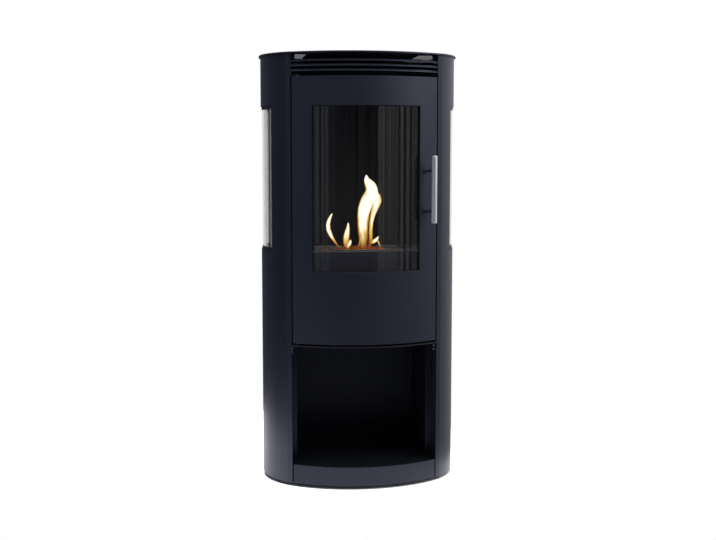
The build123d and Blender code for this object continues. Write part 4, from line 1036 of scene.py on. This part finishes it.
# Each tongue's heat, and its stations from the foot to the tip.
TONGUES = (
    Tongue("flame_left_curl", 0.84, (
        (-47.4, 574.0, 1.0), (-56.0, 583.4, 2.0), (-64.8, 596.2, 3.4), (-72.6, 608.7, 5.0),
        (-78.1, 621.8, 6.0), (-79.6, 634.9, 5.6), (-77.1, 646.7, 4.6), (-72.7, 656.0, 3.2),
        (-68.6, 663.5, 0.8),
    )),
    Tongue("flame_small_tip", 0.8, (
        (-33.7, 575.1, 4.2), (-34.7, 589.6, 7.6), (-34.0, 602.7, 8.6), (-31.8, 615.2, 7.2),
        (-29.9, 627.0, 4.8), (-29.0, 640.8, 1.0),
    )),
    Tongue("flame_small_curl", 0.84, (
        (-31.8, 573.5, 2.6), (-30.4, 579.3, 4.8), (-27.6, 585.5, 5.8), (-24.4, 591.1, 5.0),
        (-22.6, 597.0, 1.4),
    )),
    Tongue("flame_main", 1.15, (
        (9.0, 574.0, 8.0), (9.0, 583.5, 10.4), (8.8, 599.2, 12.2), (8.0, 617.9, 13.2),
        (7.8, 639.8, 14.4), (8.6, 658.5, 15.6), (11.6, 675.6, 17.0), (18.4, 691.5, 18.4),
        (26.5, 704.5, 18.6), (31.0, 717.4, 17.0), (28.5, 729.2, 14.8), (22.0, 738.6, 11.6),
        (16.5, 747.0, 7.4), (16.5, 758.5, 1.2),
    )),
    Tongue("flame_strand", 0.82, (
        (23.0, 574.0, 3.0), (26.4, 586.0, 5.2), (27.6, 600.0, 5.4), (27.2, 620.0, 5.0),
        (28.6, 640.0, 5.2), (33.0, 660.0, 6.8), (38.6, 678.0, 10.0), (43.4, 694.0, 13.4),
        (42.0, 707.0, 11.0), (37.0, 719.0, 4.0),
    )),
    Tongue("flame_hook", 0.86, (
        (24.0, 592.0, 3.6), (31.0, 590.4, 5.2), (37.4, 593.6, 5.6), (43.0, 598.4, 4.4),
        (47.2, 605.0, 1.4),
    )),
    Tongue("flame_whisker", 0.55, (
        (54.9, 574.5, 0.8), (49.8, 583.1, 1.6), (46.4, 591.9, 2.2), (43.6, 598.8, 1.0),
    )),
    Tongue("flame_wisp", 0.55, (
        (-9.5, 574.0, 0.8), (-3.2, 580.5, 1.8), (-0.1, 589.9, 2.4), (1.2, 600.8, 2.4),
        (1.8, 614.9, 0.8),
    )),
    Tongue("flame_bed", 0.15, (
        (-72.0, 574.0, 0.8), (-44.0, 575.6, 2.6), (-14.0, 576.6, 3.6), (10.0, 577.2, 4.0),
        (32.0, 576.4, 3.4), (50.0, 575.0, 2.0), (64.0, 574.0, 0.8),
    )),
)


@dataclass
class Burner:
    """Lift-out burner: brushed tray, fuel box and slide over mineral wool, with the flames above the slot."""

    row_y: float = -31.5 * MM
    tongues: tuple[Tongue, ...] = TONGUES

    def build(self) -> None:
        """Dresses the burner's nodes and models the flames."""
        dress(BURNER_STEEL, "burner_tray", "burner_insert", "flame_slide")
        dress(WOOL, "ceramic_wool")
        for tongue in self.tongues:
            piece = tongue.build(self.row_y)
            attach(piece, "burner")
            log.info("lit %s", piece.name)


# -------- studio
@dataclass(frozen=True)
class SoftBox:
    """Area light that looks at a point."""

    name: str
    place: Triple
    target: Triple
    size: Pair
    power: float
    colour: str = "#ffffff"
    in_firebox: bool = False  # a light in there isn't seen through the windows

    def build(self) -> None:
        """Adds the light."""
        light = bpy.data.lights.new(self.name, "AREA")
        light.shape = "RECTANGLE"
        light.size, light.size_y = self.size
        light.energy = self.power
        light.color = linear(self.colour)[:3]
        lamp = add_object(self.name, light)
        lamp.location = self.place
        lamp.visible_camera = False
        lamp.visible_transmission = not self.in_firebox
        way = Vector(self.target) - Vector(self.place)
        lamp.rotation_euler = way.to_track_quat("-Z", "Y").to_euler()
        log.info("hung %s", self.name)


# The studio's two boxes, and the light that the flames throw on the burner and its rim.
SOFT_BOXES = (
    SoftBox("overhead_box", (0.0, -0.1, 2.6), (0.0, 0.0, 0.0), (3.2, 2.6), 66.0),
    SoftBox("right_box", (1.75, -1.25, 2.15), (0.0, -0.1, 0.95), (1.2, 1.9), 32.0),
    SoftBox("flame_light", (0.0, -0.052, 0.65), (0.0, -0.056, 0.56), (0.2, 0.02), 0.06, "#ffd8b8", True),
    SoftBox(
        "burner_rim_light", (0.02, -0.128, 0.65), (0.02, -0.061, 0.574), (0.26, 0.014), 0.06, "#ffeedc", True
    ),
)


@dataclass
class Studio:
    """Light table, soft boxes, a dark room with a curtained window to the right, and the camera."""

    floor_middle: Pair = (-0.2, 0.1)
    floor_half: Pair = (0.54, 0.62)
    floor_corner: float = 0.4
    corner_steps: int = 8
    camera_place: Triple = (-0.3951, -2.8337, 0.8086)
    camera_dip: float = 5.805  # degrees below the horizon
    camera_turn: float = 7.936  # degrees from +Y towards +X
    focal_length: float = 57.17  # in millimetres
    sensor_width: float = 36.0
    sight: float = 50.0  # how far the camera sees, in metres
    soft_boxes: tuple[SoftBox, ...] = SOFT_BOXES
    # Colour of the room by direction, in degrees from -Y towards +X. The powder coat and the glass mirror it.
    room: Stops = (
        (-180, "#6a6f7c"), (-110, "#5c6478"), (-80, "#5c6478"), (-66, "#a4abbf"),
        (-56, "#a4abbf"), (-46, "#6b6f7e"), (-36, "#858995"), (-32, "#888c98"),
        (-25, "#6c6f78"), (-19, "#484a52"), (-12, "#404248"), (17.5, "#404248"),
        (18.5, "#9a9a9c"), (50, "#8e8e90"), (85, "#eeeef4"), (150, "#fffdff"),
        (176, "#7c7c84"),
    )
    # Share of that brightness by the sine of the height above the horizon.
    heights: Stops = (
        (-1.0, "#a0a0a0"), (-0.3, "#bababa"), (-0.1, "#dadada"), (0.03, "#ffffff"), (0.5, "#ffffff"),
    )
    folds: float = 19.0  # scale of the curtain's folds, by radians of the direction
    fold_roughness: float = 0.6
    fold_span: Pair = (0.36, 0.66)  # of the noise
    fold_light: Pair = (0.15, 1.85)  # by which a fold scales the room's light
    # Clear glass mirrors white, save for one dark edge: its middle and half width in degrees, to both sides.
    dark_edge: Pair = (133.0, 4.5)

    # A view straight from the camera has a depth of 1, and one that something mirrors has 2 or more.
    STRAIGHT = 1.5

    def build(self) -> None:
        """Builds the floor, the lights, the room and the camera."""
        self.floor()
        for box in self.soft_boxes:
            box.build()
        self.paint_room()
        self.camera()
        scene = bpy.context.scene
        scene.view_settings.view_transform = "Standard"
        scene.view_settings.look = "None"

    def floor(self) -> None:
        """Lays the light table, with round corners."""
        deselect()
        bpy.ops.mesh.primitive_plane_add(size=2.0, location=(0, 0, 0))
        floor = bpy.context.active_object
        edit_all()
        bpy.ops.transform.resize(value=(*self.floor_half, 1))
        bpy.ops.transform.translate(value=(*self.floor_middle, 0))
        bpy.ops.mesh.bevel(offset=self.floor_corner, segments=self.corner_steps, affect="VERTICES")
        settle(floor, "studio_floor", PAPER_WITH_PAINTED_SHADOW)
        log.info("laid the floor")

    def paint_room(self) -> None:
        """Builds the world: white behind the object, and a dark room that the object mirrors."""
        world = bpy.data.worlds.new("studio_room")
        bpy.context.scene.world = world
        world.use_nodes = True
        tree = world.node_tree
        tree.nodes.clear()
        way = add_node(tree, "TexCoord").outputs["Generated"]
        right, back, up = add_node(tree, "SeparateXYZ", {0: way}).outputs
        front = add_node(tree, "Math", {0: back, 1: -1.0}, operation="MULTIPLY").outputs[0]
        azimuth = add_node(tree, "Math", {0: right, 1: front}, operation="ARCTAN2").outputs[0]
        views = {
            SHARE: self.mirror_share(tree, azimuth),
            FIRST: grey(1.0),
            SECOND: self.room_light(tree, azimuth, up),
        }
        seen = add_node(tree, "Mix", views, data_type="RGBA").outputs[MIXED]
        light = add_node(tree, "Background", {"Color": seen}).outputs[0]
        add_node(tree, "OutputWorld", {"Surface": light})
        log.info("painted the room")

    def room_light(self, tree: Tree, azimuth: Socket, up: Socket) -> Socket:
        """Builds the dark room by direction and height, with the folds of its curtain.

        Args:
            tree: The world's node tree.
            azimuth: Direction from -Y towards +X, in radians.
            up: Sine of the height above the horizon.

        Returns:
            The room's light.
        """
        turn = add_node(tree, "MapRange", {"Value": azimuth, FROM: (-pi, pi)})
        walls = add_node(tree, "ValToRGB", {"Fac": turn.outputs["Result"]})
        set_stops(walls, self.room, -180, 180)
        climb = add_node(tree, "MapRange", {"Value": up, FROM: (-1.0, 1.0)})
        levels = add_node(tree, "ValToRGB", {"Fac": climb.outputs["Result"]})
        set_stops(levels, self.heights, -1, 1)
        noise = {"W": azimuth, "Scale": self.folds, "Detail": 2.0, "Roughness": self.fold_roughness}
        folds = add_node(tree, "TexNoise", noise, noise_dimensions="1D").outputs["Fac"]
        span = {"Value": folds, FROM: self.fold_span, TO: self.fold_light}
        contrast = add_node(tree, "MapRange", span).outputs["Result"]
        folded = {0: levels.outputs["Color"], 1: contrast}
        share = add_node(tree, "Math", folded, operation="MULTIPLY").outputs[0]
        lit = {0: walls.outputs["Color"], "Scale": share}
        return add_node(tree, "VectorMath", lit, operation="SCALE").outputs[0]

    def mirror_share(self, tree: Tree, azimuth: Socket) -> Socket:
        """Builds what tells the dark room, which is seen mirrored, from the white one behind the object.

        Args:
            tree: The world's node tree.
            azimuth: Direction from -Y towards +X, in radians.

        Returns:
            1 where the dark room is seen, and 0 where white is.
        """
        path = add_node(tree, "LightPath").outputs
        depths = {0: path["Ray Depth"], 1: path["Transmission Depth"]}
        depth = add_node(tree, "Math", depths, operation="SUBTRACT").outputs[0]
        mirrored = add_node(tree, "Math", {0: depth, 1: self.STRAIGHT}, operation="GREATER_THAN")
        aside = add_node(tree, "Math", {0: azimuth}, operation="ABSOLUTE").outputs[0]
        middle, half = (radians(angle) for angle in self.dark_edge)
        edge = add_node(tree, "Math", {0: aside, 1: middle, 2: half}, operation="COMPARE")
        glass = {0: path["Is Singular Ray"], 1: edge.outputs[0]}
        clear = add_node(tree, "Math", glass, operation="SUBTRACT", use_clamp=True)
        shares = {0: mirrored.outputs[0], 1: clear.outputs[0]}
        return add_node(tree, "Math", shares, operation="SUBTRACT", use_clamp=True).outputs[0]

    def camera(self) -> None:
        """Sets the camera at the photograph's viewing angle."""
        lens = bpy.data.cameras.new("view")
        lens.lens = self.focal_length
        lens.sensor_width = self.sensor_width
        lens.clip_end = self.sight
        camera = add_object("view", lens)
        camera.location = self.camera_place
        camera.rotation_euler = (radians(90 - self.camera_dip), 0.0, -radians(self.camera_turn))
        bpy.context.scene.camera = camera
        log.info("set the camera")


def main() -> None:
    """Builds the studio and dresses the object, one sub-assembly after the other."""
    logging.basicConfig(level=logging.INFO, format="%(message)s")
    sub_assemblies = [
        Studio(),
        Cabinet(),
        OutletGrids(),
        SideSeals(),
        Door(),
        Burner(),
        Screws("post_screws", "cabinet", Facing.MIDDLE),
        Screws("lug_screws", "cabinet", Facing.FRONT),
        Screws("back_screws", "cabinet", Facing.BACK, head_rise=1.8 * MM),
        Screws("door_clip_screws", "door", Facing.BOW_CENTRE),
        Screws("handle_screws", "door", Facing.BOW_CENTRE, head_radius=3.84 * MM, shank_radius=2.4 * MM),
    ]
    for sub_assembly in sub_assemblies:
        sub_assembly.build()


if __name__ == "__main__":
    main()
